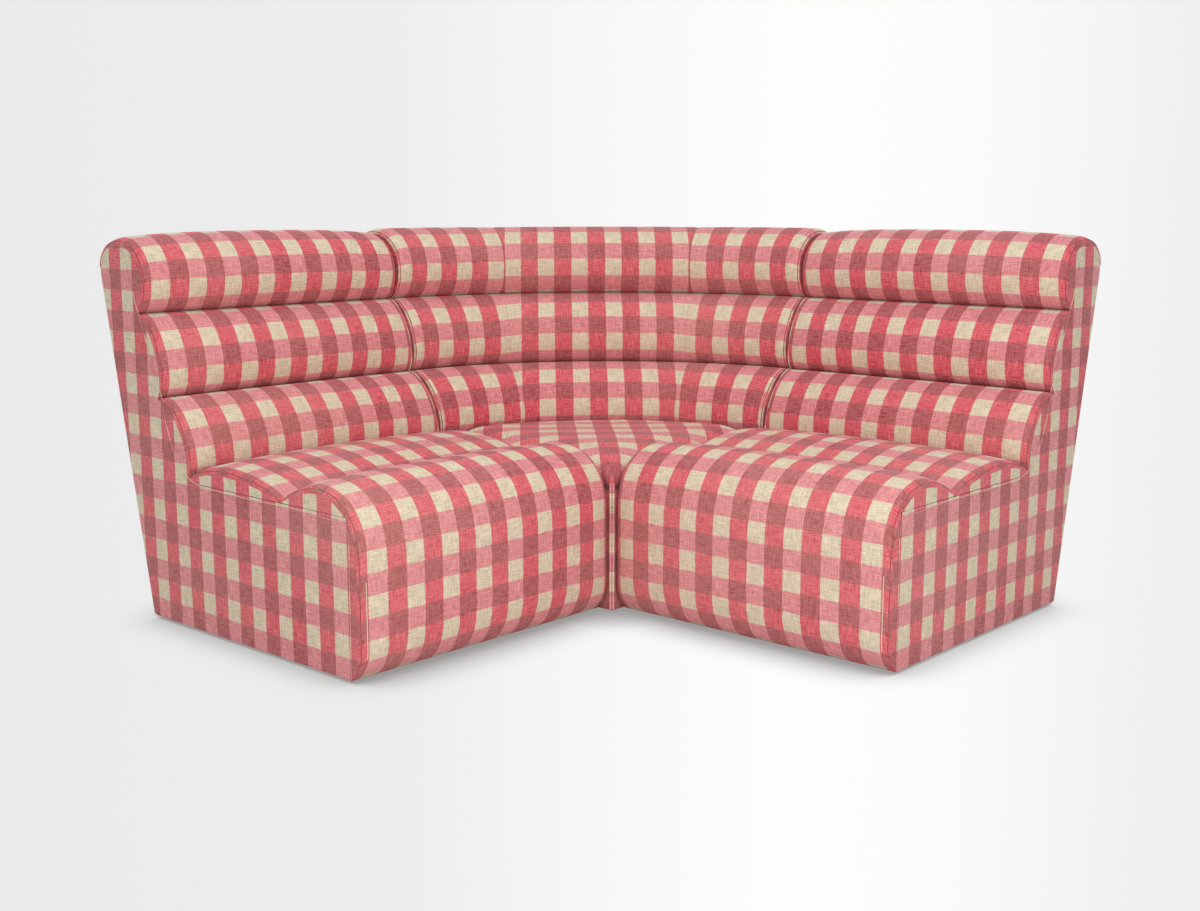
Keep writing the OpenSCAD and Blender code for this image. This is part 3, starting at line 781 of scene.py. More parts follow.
class Finishes:
    """Builds each material once and hands it out by name."""

    def __init__(self, look: FabricLook) -> None:
        """Builds the node groups and all the materials.

        Args:
            look: How the cloth looks.
        """
        weave = Weave()
        self.look = look
        self.slub = slub_group(weave)
        self.gingham = check_group(weave)
        self.check = self.fabric("check_fabric", 1.0)
        # Painted shade: the welts' cloth is the check cloth darkened for the shade in seams and joins.
        self.welt = self.fabric("welt_shaded_cloth", 0.62)
        self.plain = {plain.slot: self.plain_finish(plain) for plain in PLAIN_LOOKS}

    def shader(self, name: str) -> tuple[bpy.types.Material, Nodes, bpy.types.Node]:
        """Starts a material.

        Args:
            name: Its name.

        Returns:
            The material, the builder of its nodes and its Principled shader.
        """
        material = bpy.data.materials.new(name)
        material.use_nodes = True
        material.node_tree.nodes.clear()
        n = Nodes(material.node_tree)
        surface = n.add("ShaderNodeBsdfPrincipled")
        n.put(n.add("ShaderNodeOutputMaterial"), 0, surface.outputs[0])
        return material, n, surface

    def bump(self, n: Nodes, height: object, depth: float, strength: float) -> bpy.types.NodeSocket:
        """Turns a height into a normal.

        Args:
            n: The builder of the material's nodes.
            height: The height, in shares of depth.
            depth: The depth, in metres.
            strength: How strongly the light follows it.

        Returns:
            The normal.
        """
        node = n.add("ShaderNodeBump")
        for key, value in (("Strength", strength), ("Distance", depth), ("Height", height)):
            n.put(node, key, value)
        return node.outputs[0]

    def fabric(self, name: str, shade: float) -> bpy.types.Material:
        """Gingham cloth that reads the piece's own map of checks.

        Args:
            name: The material's name.
            shade: 1 for the cloth itself, less for the welts, whose cloth is darkened toward the welt shade
                colour as painted shade in their seams and joins.

        Returns:
            The material.
        """
        look = self.look
        material, n, surface = self.shader(name)
        uv = n.add("ShaderNodeUVMap", uv_map="Check").outputs[0]
        slub = n.add("ShaderNodeGroup", node_tree=self.slub)
        n.put(slub, 0, uv)
        cells = [srgb(code) for code in (look.cream, look.rose, look.red, look.wine)]
        check = n.chain("ShaderNodeGroup", (uv, *cells, slub.outputs[0]), node_tree=self.gingham)
        fade = n.noise(n.add("ShaderNodeTexCoord").outputs["Object"], look.fade_scale, 3.0)
        tint = n.mix(n.remap(fade, (0.3, 0.7), (0.0, look.fade_share)), check, srgb(look.faded))
        # Painted shade: ambient occlusion darkens the cloth toward the crease colour in creases and between
        # the rolls.
        near = n.add("ShaderNodeAmbientOcclusion", samples=4, only_local=False)
        n.put(near, "Distance", look.painted_shade_reach)
        depth = n.remap(near.outputs[1], (0.05, 0.6), (look.painted_shade_share, 0.0))
        shaded_colour = n.mix(depth, tint, srgb(look.crease), "MULTIPLY")
        # Painted shade: a welt's cloth is darkened toward the welt shade colour.
        if shade < 1.0:
            shaded_colour = n.mix(1.0 - shade, shaded_colour, srgb(look.welt_shade))
        rough = (look.roughness - look.roughness_spread, look.roughness + look.roughness_spread)
        for key, value in (
            ("Base Color", shaded_colour),
            ("Roughness", n.remap(slub.outputs[2], (0.2, 0.8), rough)),
            ("Specular IOR Level", look.specular),
            ("Sheen Weight", look.sheen),
            ("Sheen Roughness", look.sheen_roughness),
            ("Normal", self.bump(n, slub.outputs[1], look.bump, look.bump_strength)),
        ):
            n.put(surface, key, value)
        return material

    def plain_finish(self, look: PlainLook) -> bpy.types.Material:
        """A finish for the frame, the springs or the fittings, with grain along one axis.

        Args:
            look: The finish.

        Returns:
            The material.
        """
        material, n, surface = self.shader(look.slot)
        place = n.add("ShaderNodeTexCoord").outputs["Object"]
        grain = n.noise(n.vector("MULTIPLY", place, look.grain), 1.0, 4.0, 0.6)
        drift = n.noise(place, 6.0, 2.0)
        blend = n.math("ADD", n.math("MULTIPLY", grain, 0.7), n.math("MULTIPLY", drift, 0.3))
        shift = n.remap(blend, (0.25, 0.75), (0.0, 1.0))
        n.put(surface, "Base Color", n.mix(shift, srgb(look.base), srgb(look.second)))
        rough = (look.roughness - 0.05, look.roughness + 0.07)
        n.put(surface, "Roughness", n.remap(drift, (0.3, 0.7), rough))
        n.put(surface, "Metallic", look.metallic)
        n.put(surface, "Normal", self.bump(n, grain, look.bump, 0.6))
        return material

    def finish_frame(self) -> None:
        """Gives every node of the frame that stays shown the finish of its slot."""
        slots = {part["node"]: part["material_slot"] for part in frame["record"]["subparts"]}
        for name, node in frame["nodes"].items():
            finish = self.plain.get(slots.get(name, ""))
            if finish is None:
                continue
            if not node.material_slots:
                node.data.materials.append(finish)
            for slot in node.material_slots:
                slot.material = finish
            LOG.info("%s keeps its solid, in %s", name, finish.name)


MapAt = Callable[[Vector], tuple[float, float]]
LayAt = Callable[[float, float, float], tuple[Vector, float]]
Hold = Callable[[Vector], float]
Ring = list[Vector]
WELD = 0.00002
END_REACH = 0.035
SEAM_REACH = 0.045
SHARP = math.radians(62)


def put_in_scene(name: str, mesh: bpy.types.Mesh, material: bpy.types.Material) -> bpy.types.Object:
    """Makes an object of a mesh.

    Args:
        name: The object's name.
        mesh: The mesh.
        material: Its one material.

    Returns:
        The object, linked to the scene.
    """
    mesh.materials.append(material)
    piece = bpy.data.objects.new(name, mesh)
    bpy.context.scene.collection.objects.link(piece)
    return piece


class Cover:
    """One mesh piece under way, in a unit's own places, with its map of checks."""

    def __init__(self, name: str) -> None:
        """Starts an empty mesh.

        Args:
            name: The piece's name without its ending.
        """
        self.name = name
        self.bm = bmesh.new()
        self.uv = self.bm.loops.layers.uv.new("Check")

    def lay(self, rows: list[Ring], marks: Optional[list[list[tuple[float, float]]]] = None) -> None:
        """Starts a grid and lays its vertices to rows of places.

        Args:
            rows: Places, row by row, all rows of one length.
            marks: The check map at each place.
        """
        nx, ny = len(rows[0]), len(rows)
        made = bmesh.ops.create_grid(self.bm, x_segments=nx - 1, y_segments=ny - 1, size=0.5)["verts"]
        spots = {v: (round((v.co.y + 0.5) * (ny - 1)), round((v.co.x + 0.5) * (nx - 1))) for v in made}
        for v, (j, i) in spots.items():
            v.co = rows[j][i]
        if marks:
            for loop in {loop for v in made for loop in v.link_loops}:
                j, i = spots[loop.vert]
                loop[self.uv].uv = marks[j][i]

    def weld(self, distance: float = WELD) -> None:
        """Joins what lies in one place, and turns all faces outwards.

        Args:
            distance: How close two places have to lie.
        """
        bmesh.ops.remove_doubles(self.bm, verts=self.bm.verts, dist=distance)
        bmesh.ops.dissolve_degenerate(self.bm, edges=self.bm.edges, dist=0.000005)
        bmesh.ops.recalc_face_normals(self.bm, faces=self.bm.faces)

    def close(self) -> list[bmesh.types.BMFace]:
        """Fills the open rims with flat faces."""
        rims = [e for e in self.bm.edges if e.is_boundary]
        return bmesh.ops.holes_fill(self.bm, edges=rims, sides=0)["faces"] if rims else []

    def back(self, thickness: float) -> None:
        """Gives an open sheet of faces a thickness."""
        bmesh.ops.recalc_face_normals(self.bm, faces=self.bm.faces)
        bmesh.ops.solidify(self.bm, geom=self.bm.faces, thickness=thickness)

    def mark(self, at: MapAt, faces: Optional[list[bmesh.types.BMFace]] = None) -> None:
        """Gives faces their check map from their places.

        Args:
            at: The check map at a place.
            faces: The faces, or None for all of them.
        """
        for f in faces or self.bm.faces:
            for loop in f.loops:
                loop[self.uv].uv = at(loop.vert.co)

    def place(self, spot: Callable[[float, float, float], Vector]) -> None:
        """Moves all vertices from a unit's own places to the sofa's."""
        for v in self.bm.verts:
            v.co = spot(*v.co)

    def build(self, material: bpy.types.Material) -> bpy.types.Object:
        """Makes the object, smooth but for its sharp edges, and frees the working mesh.

        Args:
            material: Its cloth.

        Returns:
            The object.
        """
        bmesh.ops.recalc_face_normals(self.bm, faces=self.bm.faces)
        for f in self.bm.faces:
            f.smooth = True
        mesh = bpy.data.meshes.new(self.name)
        self.bm.to_mesh(mesh)
        self.bm.free()
        mesh.set_sharp_from_angle(angle=SHARP)
        return put_in_scene(self.name + "_cover", mesh, material)


def mirrored(piece: bpy.types.Object, name: str) -> bpy.types.Object:
    """Copies a piece for the other side of the sofa.

    Args:
        piece: The piece.
        name: The copy's name.

    Returns:
        The copy, mirrored in its mesh.
    """
    bm = bmesh.new()
    bm.from_mesh(piece.data)
    bmesh.ops.scale(bm, vec=(-1.0, 1.0, 1.0), verts=bm.verts)
    bmesh.ops.reverse_faces(bm, faces=bm.faces)
    mesh = bpy.data.meshes.new(name)
    bm.to_mesh(mesh)
    bm.free()
    return put_in_scene(name, mesh, piece.data.materials[0])


def across_middle(path: list[Vector]) -> list[Vector]:
    """The same path on the other side of the corner's middle."""
    return [Vector((-p.x, p.y, p.z)) for p in path]


def tube_rings(path: list[Vector], radius: float, sides: int = 8) -> list[Ring]:
    """Rings of a welt along a path, each square to it.

    Args:
        path: The welt's middle line.
        radius: Its radius.
        sides: Flats round it.

    Returns:
        The rings, each with its first place again at its end.
    """
    rings = []
    side = Vector((0, 0, 1))
    for k, p in enumerate(path):
        along = (path[min(k + 1, len(path) - 1)] - path[max(k - 1, 0)]).normalized()
        if abs(side.dot(along)) < 0.999:
            side = (side - along * side.dot(along)).normalized()
        else:
            side = along.orthogonal().normalized()
        up = along.cross(side)
        turns = [2 * math.pi * i / sides for i in range(sides + 1)]
        rings.append([p + (side * math.cos(a) + up * math.sin(a)) * radius for a in turns])
    return rings


def dense(path: list[Vector], step: float) -> list[Vector]:
    """Cuts a path into short steps.

    Args:
        path: The path.
        step: The longest step.

    Returns:
        The path's old and new points.
    """
    spots = [path[0]]
    for a, b in zip(path, path[1:]):
        n = max(1, math.ceil((b - a).length / step))
        spots.extend(a.lerp(b, i / n) for i in range(1, n + 1))
    return spots


def filleted(path: list[Vector], radius: float, steps: int = 4) -> list[Vector]:
    """Rounds each inner corner of an open path.

    Args:
        path: The path.
        radius: The most that a corner is rounded over either way.
        steps: Steps round a corner.

    Returns:
        The rounded path.
    """
    out = [path[0]]
    for before, p, after in zip(path, path[1:], path[2:]):
        start = p + (before - p) * min(0.45, radius / (before - p).length)
        end = p + (after - p) * min(0.45, radius / (after - p).length)
        out.extend(start * (1 - t) ** 2 + p * 2 * t * (1 - t) + end * t**2 for t in shares(steps))
    return out + [path[-1]]


def spaced(path: list[Vector], count: int) -> list[Vector]:
    """Cuts a path into equal steps along its length.

    Args:
        path: The path.
        count: How many steps.

    Returns:
        The ends of the steps.
    """
    lengths = run_lengths(path)
    out, k = [], 0
    for i in range(count + 1):
        want = lengths[-1] * i / count
        while k < len(path) - 2 and lengths[k + 1] < want:
            k += 1
        share = (want - lengths[k]) / max(1e-9, lengths[k + 1] - lengths[k])
        out.append(path[k].lerp(path[k + 1], min(1.0, share)))
    return out


@dataclass(frozen=True)
class Stuffing:
    """How the cloth of a roll swells, and the most that it may move, in metres."""

    pressure: float = 3.0
    cap: float = 0.003
    frames: int = 12
    quality: int = 4
    mass: float = 0.4
    tension: float = 18.0
    compression: float = 9.0
    shear: float = 6.0
    bending: float = 0.4

    def settle(self, piece: bpy.types.Object, held: Hold) -> None:
        """Lets a cover swell as stuffed cloth, and keeps a capped share of the movement.

        Args:
            piece: The closed cover.
            held: How firmly each place is held, from 0 to 1.
        """
        mesh = piece.data
        group = piece.vertex_groups.new(name="held")
        for v in mesh.vertices:
            weight = held(v.co)
            if weight > 0:
                group.add([v.index], weight, "REPLACE")
        swell = piece.modifiers.new("swell", "CLOTH")
        cloth = swell.settings
        cloth.quality = self.quality
        cloth.mass = self.mass
        cloth.tension_stiffness = self.tension
        cloth.compression_stiffness = self.compression
        cloth.shear_stiffness = self.shear
        cloth.bending_stiffness = self.bending
        cloth.use_pressure = True
        cloth.uniform_pressure_force = self.pressure
        cloth.vertex_group_mass = "held"
        cloth.effector_weights.gravity = 0
        swell.collision_settings.use_collision = False
        swell.collision_settings.use_self_collision = False
        swell.point_cache.frame_start = 1
        swell.point_cache.frame_end = self.frames
        for step in range(1, self.frames + 1):
            bpy.context.scene.frame_set(step)
        shaped = piece.evaluated_get(bpy.context.evaluated_depsgraph_get())
        moved = [v.co.copy() for v in shaped.data.vertices]
        piece.modifiers.remove(swell)
        piece.vertex_groups.remove(group)
        worst = 0.0
        for v, p in zip(mesh.vertices, moved):
            shift = p - v.co
            worst = max(worst, shift.length)
            if shift.length > 1e-9:
                v.co = v.co + shift.normalized() * self.cap * math.tanh(shift.length / self.cap)
        mesh.update()
        bpy.context.scene.frame_set(1)
        LOG.info("%s settled, largest free move %.4f m", piece.name, worst)


def firmness(end: float, seam: float, panel: float = 0.0) -> float:
    """How firmly cloth is held, from 0 to 1, at distances from the end of a roll and from a seam."""
    return min(1.0, max(0.0, 1.15 - end / END_REACH, 1.25 - seam / SEAM_REACH, panel))


@dataclass(frozen=True)
class Trims:
    """Radii of the sewn trims and of the painted highlight strip, and how far they lie from the end of a
    roll, in metres.
    """

    back: float = 0.003
    proud: float = 0.0002
    sunk: float = 0.001
    end_welt: float = 0.0009
    side_seam: float = 0.0008
    side_seam_x: float = -0.0009
    side_seam_fillet: float = 0.012
    piping: float = 0.0024
    join_welt: float = 0.0012
    # Painted highlight: the pale strip on the outer front fillet, its radius and where it runs.
    stitch: float = 0.0010
    highlight_back: float = 0.014
    highlight_low: float = 0.05
    highlight_high: float = 0.25
    highlight_deep: float = 0.04
    corner_join: float = 0.0013
    corner_seam: float = 0.0010
    seam_sink: float = 0.0026
    tip_strip: float = 0.0033
    tip_strip_x: float = 0.0034
    tip_strip_y: float = 0.0052
    tip_strip_ends: tuple[float, float] = (0.009, 0.317)
    tip_strip_step: float = 0.012
    pad_welt: float = 0.0026
    step: float = 0.01


CLOTH_T = 0.004
PANEL_TUCK = 0.005
PANEL_SWELL = 0.007
PANEL_CELLS = 28
SAG = 0.0022
STAPLE_EDGE = 0.018
STAPLE_REAR = 0.011
SHEET_LIFT = 0.0012
EDGE_STEPS = 7
BOARD_EDGE = 0.0015


@dataclass
class Unit:
    """What each unit of the sofa is made with."""

    finishes: Finishes
    sizes: SofaSizes = SofaSizes()
    checks: CheckMap = CheckMap()
    trims: Trims = Trims()
    stuffing: Stuffing = Stuffing()
    panel_fill: float = 0.3

    def __post_init__(self) -> None:
        """Lays out the sections."""
        self.sections = Sections(self.sizes)

    def edge_stations(self) -> list[float]:
        """Distances from the end of a roll, close together where it rounds."""
        return [self.sizes.edge_w * (1 - math.cos(math.pi / 2 * a)) for a in shares(EDGE_STEPS)]

    def ring(self, roll: Roll, inset: float) -> list[Point]:
        """The closed section of a roll, its cloth first and its hidden lining last."""
        points = self.sections.of(roll, inset) + self.sections.lining(roll)
        return points + points[:1]

    def seams(self, roll: Roll) -> list[Point]:
        """Where a roll is sewn along its length."""
        section = self.sections.of(roll, 0.0)
        return [section[0], section[-1], *self.sections.lining(roll)]

    def uneven(self, x: float, y: float, z: float, amount: float, seed: float) -> float:
        """How far hand-stuffed padding stands out or in at a place."""
        q = Vector((x * 7.0 + seed, y * 7.0, z * 9.0))
        return amount * (noise.noise(q) + 0.5 * noise.noise(q * 2.3))

    def from_frame(self, v: Vector) -> Vector:
        """A place of the sofa, as one of the straight unit on its side."""
        up, x = v.y + self.sizes.middle_y, -abs(v.x)
        return Vector(((x + up) * SIN45 + self.sizes.unit_w, (up - x) * SIN45 + self.sizes.front_stand, v.z))

    def upright(self, y: float, z: float) -> tuple[float, float]:
        """Check map of an upright side at a depth and a height."""
        return (self.checks.side_column(y), self.checks.side_row(z))

    def side_map(self, v: Vector) -> tuple[float, float]:
        """Check map of an upright side at a place of the sofa."""
        p = self.from_frame(v)
        return self.upright(p.y, p.z)

    def panel(self, name: str, across: int, tuck: float, lay: LayAt) -> Cover:
        """A lightly padded rear panel, pulled in along its edges.

        Args:
            name: The cover's name.
            across: Cells across it.
            tuck: How quickly it swells from its sides.
            lay: Place and check column from a share across, a height and how far it stands out.

        Returns:
            The cover.
        """
        low, high = self.sizes.glide_h + 0.001, self.sizes.shoulder_h - 0.0005
        rows, marks = [], []
        for b in shares(PANEL_CELLS):
            z = low + (high - low) * b
            row = []
            for a in shares(across):
                swell = min(1.0, tuck * a, tuck * (1 - a), 14 * b, 14 * (1 - b))
                row.append(lay(a, z, -PANEL_TUCK + PANEL_SWELL * math.sqrt(1 - (1 - swell) ** 2)))
            rows.append([spot for spot, _ in row])
            marks.append([(column, self.checks.side_row(z)) for _, column in row])
        cover = Cover(name)
        cover.lay(rows, marks)
        cover.back(CLOTH_T)
        return cover

    def board(self, node: str) -> bpy.types.Object:
        """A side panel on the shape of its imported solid, its doubles merged and its edges softened.

        Args:
            node: The solid on the left of a pair.

        Returns:
            The piece.
        """
        cover = Cover(node)
        bm = cover.bm
        bm.from_mesh(frame["nodes"][node].data)
        bmesh.ops.remove_doubles(bm, verts=bm.verts, dist=WELD)
        bmesh.ops.dissolve_limit(bm, angle_limit=math.radians(0.5), verts=bm.verts, edges=bm.edges)
        sharp = [e for e in bm.edges if len(e.link_faces) == 2 and e.calc_face_angle(0.0) > math.radians(30)]
        bmesh.ops.bevel(
            bm,
            geom=sharp,
            offset=BOARD_EDGE,
            segments=2,
            profile=0.5,
            affect="EDGES",
            material=-1,
            clamp_overlap=True,
        )
        cover.uv = bm.loops.layers.uv.get("Check") or bm.loops.layers.uv.new("Check")
        cover.mark(self.side_map)
        return cover.build(self.finishes.check)

    def welts(self, name: str, paths: list[list[Vector]], radius: float, column: float = RED_COLUMN) -> Cover:
        """Welts of rolled cloth along paths, all in one piece.

        Args:
            name: The cover's name.
            paths: Their middle lines.
            radius: Their radius.

        Returns:
            The cover.
        """
        cover = Cover(name)
        for path in paths:
            rings = tube_rings(path, radius)
            lengths = run_lengths([ring[0] for ring in rings])
            columns = [column + 0.02 * i for i in range(len(rings[0]))]
            cover.lay(rings, [[(at, length / self.checks.row) for at in columns] for length in lengths])
        cover.weld(0.00001)
        cover.close()
        return cover

    def declare(
        self, piece: bpy.types.Object, body: str, node: str = "", fill: Optional[float] = None
    ) -> None:
        """Hangs a piece on its unit's body, hides the solid that it stands for, and logs it.

        Args:
            piece: The piece.
            body: The unit that it rides on.
            node: The solid that it stands for, if any.
            fill: Not used.
        """
        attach(piece, body)
        if node:
            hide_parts(node)
        LOG.info("%s made, on %s", piece.name, body)

    def sheet_z(self, a: float, b: float) -> float:
        """Height of a dust cover, which sags between its staples, at shares of its width and depth."""
        return self.sizes.glide_h + SHEET_LIFT - SAG * math.sin(math.pi * a) * math.sin(math.pi * b)

    def sheet(self, piece: bpy.types.Object, side: str, flat: tuple[float, float]) -> None:
        """Hangs a dust cover on its unit's body, hides its solid and logs its area of cloth.

        Args:
            piece: The piece.
            side: The first word of its unit's names.
            flat: Width and depth of the cloth that it is cut from.
        """
        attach(piece, side + "_unit")
        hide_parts(side + "_dust_cover")
        area = min(sum(face.area for face in piece.data.polygons), flat[0] * flat[1])
        LOG.info("%s made, %.3f m2 of cloth", piece.name, area)


STRAIGHT_FILLS: dict[Roll, float] = {
    Roll.FRONT: 0.8,
    Roll.REAR: 0.8,
    Roll.LOWER: 0.75,
    Roll.MIDDLE: 0.75,
    Roll.TOP: 0.8,
}


@dataclass
class StraightUnit(Unit):
    """An armless unit: made for the left of the sofa, and mirrored on its right.

    Outlines of its side are in depth and height.
    """

    roll_cells: int = 40
    end_band: float = 0.004
    side_cells: tuple[int, int] = (90, 22)
    side_back: tuple[Point, ...] = ((0.7315, 0.526), (0.8065, 0.716), (0.8435, 0.846))
    side_crown: tuple[Point, ...] = ((0.8535, 0.861), (0.872, 0.866), (0.905, 0.853))
    side_floor: float = 0.007
    side_foot: float = 0.6275
    side_brow: float = 0.80
    side_lap: float = 0.0035
    side_hide: float = 0.0005
    side_tuck: float = 0.0003
    side_round: float = 0.006
    side_swell: float = 0.08
    side_stand: tuple[float, float, float] = (0.0002, 0.0006, 0.0010)
    side_fillets: tuple[float, float] = (0.004, 0.006)
    side_weld: float = 0.00003
    side_fill: float = 0.4
    side_seam: tuple[Point, ...] = (
        (0.049, 0.010), (0.0465, 0.20), (0.0448, 0.296), (0.0480, 0.320), (0.062, 0.331), (0.086, 0.335),
        (0.236, 0.342), (0.382, 0.340), (0.561, 0.343), (0.606, 0.351), (0.664, 0.394), (0.700, 0.475),
        (0.708, 0.526), (0.774, 0.679), (0.804, 0.745), (0.836, 0.844), (0.846, 0.859), (0.866, 0.8655),
    )
    panel_cells: int = 26
    panel_tuck: float = 14.0
    panel_lumps: tuple[float, float] = (0.0008, 3.0)
    sheet_cells: int = 24
    sheet_front: float = 0.010
    sheet_flat: tuple[float, float] = (0.690, 0.720)

    def hold(self, roll: Roll) -> Hold:
        """How firmly a roll's cloth is held at a place of the sofa: at its ends and its seams.

        Args:
            roll: Which roll.

        Returns:
            A function of the place.
        """
        seams = self.seams(roll)

        def held(v: Vector) -> float:
            """Weighs one place.

            Args:
                v: The place.

            Returns:
                Its weight from 0 to 1.
            """
            p = self.from_frame(v)
            seam = min(math.dist((p.y, p.z), spot) for spot in seams)
            return firmness(min(p.x, self.sizes.body_w - p.x), seam)

        return held

    def roll(self, roll: Roll) -> Cover:
        """A roll, closed, with flat ends inside a red border.

        Args:
            roll: Which roll.

        Returns:
            The cover, in the unit's own places.
        """
        s = self.sizes
        edges = self.edge_stations()
        inner = [s.edge_w + (s.body_w - 2 * s.edge_w) * a for a in shares(self.roll_cells)[1:-1]]
        runs = edges + inner + [s.body_w - d for d in reversed(edges)]
        lengths = run_lengths(self.ring(roll, 0.0))
        counts = [(length - ROW_CENTRES[roll]) / self.checks.row + 0.5 for length in lengths]
        rows, marks = [], []
        for x in runs:
            inset = s.drawn(min(x, s.body_w - x), s.body_w)
            rows.append([Vector((x, y, z)) for y, z in self.ring(roll, inset)])
            marks.append([(self.checks.column(x), count) for count in counts])
        cover = Cover("left_" + roll.value)
        cover.lay(rows, marks)
        cover.weld()
        self.close_ends(cover)
        return cover

    def close_ends(self, cover: Cover) -> None:
        """Args:
            cover: The roll.
        """
        caps = cover.close()
        bmesh.ops.recalc_face_normals(cover.bm, faces=cover.bm.faces)
        for cap in caps:
            band = bmesh.ops.inset_region(
                cover.bm, faces=[cap], thickness=self.end_band, depth=0.0, use_even_offset=False
            )
            cover.mark(lambda v: (RED_COLUMN, self.checks.side_row(v.z)), band["faces"])
            cover.mark(lambda v: self.upright(v.y, v.z), [cap])

    def side_front(self, out: float) -> list[Vector]:
        """The edge of an outer side from the hem up along the seat and the back.

        Args:
            out: How far it laps over the rolls.

        Returns:
            Its corners.
        """
        front, deck = self.sizes.front_roll_t - out, self.sizes.deck_h + out * 0.6
        line = [(front, self.side_floor), (front, deck), (self.side_foot - out, deck)]
        line += [(y - out, z) for y, z in self.side_back] + list(self.side_crown)
        return [Vector((0.0, y, z)) for y, z in line]

    def side_rear(self) -> list[Vector]:
        """The edge of an outer side from the hem at the front along the floor and up the rear.

        Returns:
            Its corners.
        """
        s = self.sizes
        line = [(s.front_roll_t, self.side_floor)]
        line += [(s.rear_y(z) - self.side_hide, z) for z in (self.side_floor, self.side_brow)]
        line += [(s.shoulder[0] - 0.0012, s.shoulder_h + self.side_hide), self.side_crown[-1]]
        return [Vector((0.0, y, z)) for y, z in line]

    def outer_side(self) -> Cover:
        """The outer side: one flat, thinly padded panel that laps over the rolls' ends.

        Returns:
            The cover.
        """
        count, across = self.side_cells
        fillet, rear_fillet = self.side_fillets
        base, rim, middle = self.side_stand
        front = spaced(filleted(self.side_front(self.side_lap), fillet), count)
        behind = spaced(filleted(self.side_front(-self.side_hide), fillet), count)
        rear = spaced(filleted(self.side_rear(), rear_fillet), count)
        rows = []
        for p, hidden, q in zip(front, behind, rear):
            face, back = [], []
            for a in shares(across):
                t = (1 - math.cos(math.pi * a)) / 2
                spot = p.lerp(q, t)
                near = min((spot - edge).length for edge in front + rear)
                swell = math.sqrt(1 - (1 - min(1.0, near / self.side_round)) ** 2)
                depth = base + rim * swell + middle * min(1.0, near / self.side_swell)
                face.append(Vector((-depth, spot.y, spot.z)))
                spot = hidden.lerp(q, t)
                back.append(Vector((self.sizes.side_t - self.side_hide, spot.y, spot.z)))
            rows.append(face + back[::-1] + [Vector((self.side_tuck, hidden.y, hidden.z))] + face[:1])
        cover = Cover("left_outer_side")
        cover.lay(rows)
        cover.weld(self.side_weld)
        cover.mark(lambda v: self.upright(v.y, v.z))
        return cover

    def rear_panel(self) -> Cover:
        """The rear, lightly padded and pulled in along its edges.

        Returns:
            The cover.
        """
        s = self.sizes

        def lay(a: float, z: float, out: float) -> tuple[Vector, float]:
            """Lays one place of the rear.

            Args:
                a: Its share of the width.
                z: Its height.
                out: How far it stands out.

            Returns:
                The place and its column.
            """
            x = s.side_t + (s.body_w - 2 * s.side_t) * a
            depth = s.rear_y(z) + out + self.uneven(x, 2.0, z, *self.panel_lumps)
            return Vector((x, depth, z)), self.checks.column(x)

        return self.panel("left_rear_panel", self.panel_cells, self.panel_tuck, lay)

    def section_path(self, roll: Roll, x: float, inset: float) -> list[Vector]:
        """The line that a roll's cloth makes at distance x along the unit."""
        return [Vector((x, y, z)) for y, z in self.sections.of(roll, inset)]

    def both(
        self,
        cover: Cover,
        material: bpy.types.Material,
        node: str = "",
        fill: Optional[float] = None,
        hold: Optional[Hold] = None,
    ) -> None:
        """Builds a cover on the left unit, lets it settle, and mirrors it on the right unit.

        Args:
            cover: The cover.
            material: Its cloth.
            node: What its solids are called after the side, if it stands for any.
            fill: How full its padding is, if it is padded.
            hold: How firmly its cloth is held, if it settles.
        """
        cover.place(self.sizes.straight_spot)
        left = cover.build(material)
        if hold:
            self.stuffing.settle(left, hold)
        right = mirrored(left, "right_" + left.name.removeprefix("left_"))
        for piece, side in ((left, "left_"), (right, "right_")):
            self.declare(piece, side + "unit", node and side + node, fill)

    def trim(self) -> None:
        """Sews on the welts, the piping and the seams, and lays a pale strip of painted highlight along the
        outer front fillet.
        """
        s, t = self.sizes, self.trims
        cloth, welt = self.finishes.check, self.finishes.welt
        outer = [self.section_path(roll, t.back, s.drawn(t.back, s.body_w) - t.proud) for roll in Roll]
        self.both(self.welts("left_end_welts", outer, t.end_welt), welt)
        line = filleted([Vector((t.side_seam_x, y, z)) for y, z in self.side_seam], t.side_seam_fillet)
        seam = self.welts("left_side_seam", [dense(line, t.step)], t.side_seam)
        seam.mark(lambda v: (CREAM_COLUMN, self.checks.side_row(v.z)))
        self.both(seam, cloth)
        inset = s.drawn(t.back, s.body_w) + t.sunk
        join = {roll: self.section_path(roll, s.body_w - t.back, inset) for roll in Roll}
        pale = [join.pop(Roll.LOWER), join.pop(Roll.MIDDLE)]
        self.both(self.welts("left_join_piping", pale, t.piping, CREAM_COLUMN), cloth)
        self.both(self.welts("left_join_welts", list(join.values()), t.join_welt), welt)
        # Painted highlight: a pale cream strip on the outer front fillet, where a thin bright line shows.
        face = self.section_path(Roll.FRONT, t.highlight_back, s.drawn(t.highlight_back, s.body_w))
        face = [v for v in face if t.highlight_low < v.z < t.highlight_high and v.y < t.highlight_deep]
        stitch = self.welts("left_front_stitch", [dense(face, t.step)], t.stitch)
        stitch.mark(lambda v: (CREAM_COLUMN, 0.5))
        self.both(stitch, cloth)

    def dress(self) -> None:
        """Covers both straight units."""
        cloth = self.finishes.check
        for roll, fill in STRAIGHT_FILLS.items():
            self.both(self.roll(roll), cloth, roll.value, fill, self.hold(roll))
        self.both(self.outer_side(), cloth, "outer_side", self.side_fill)
        self.both(self.rear_panel(), cloth, "rear_panel", self.panel_fill)
        left = self.board("left_inner_side")
        self.declare(left, "left_unit", "left_inner_side", self.panel_fill)
        right = mirrored(left, "right_inner_side_cover")
        self.declare(right, "right_unit", "right_inner_side", self.panel_fill)
        self.trim()

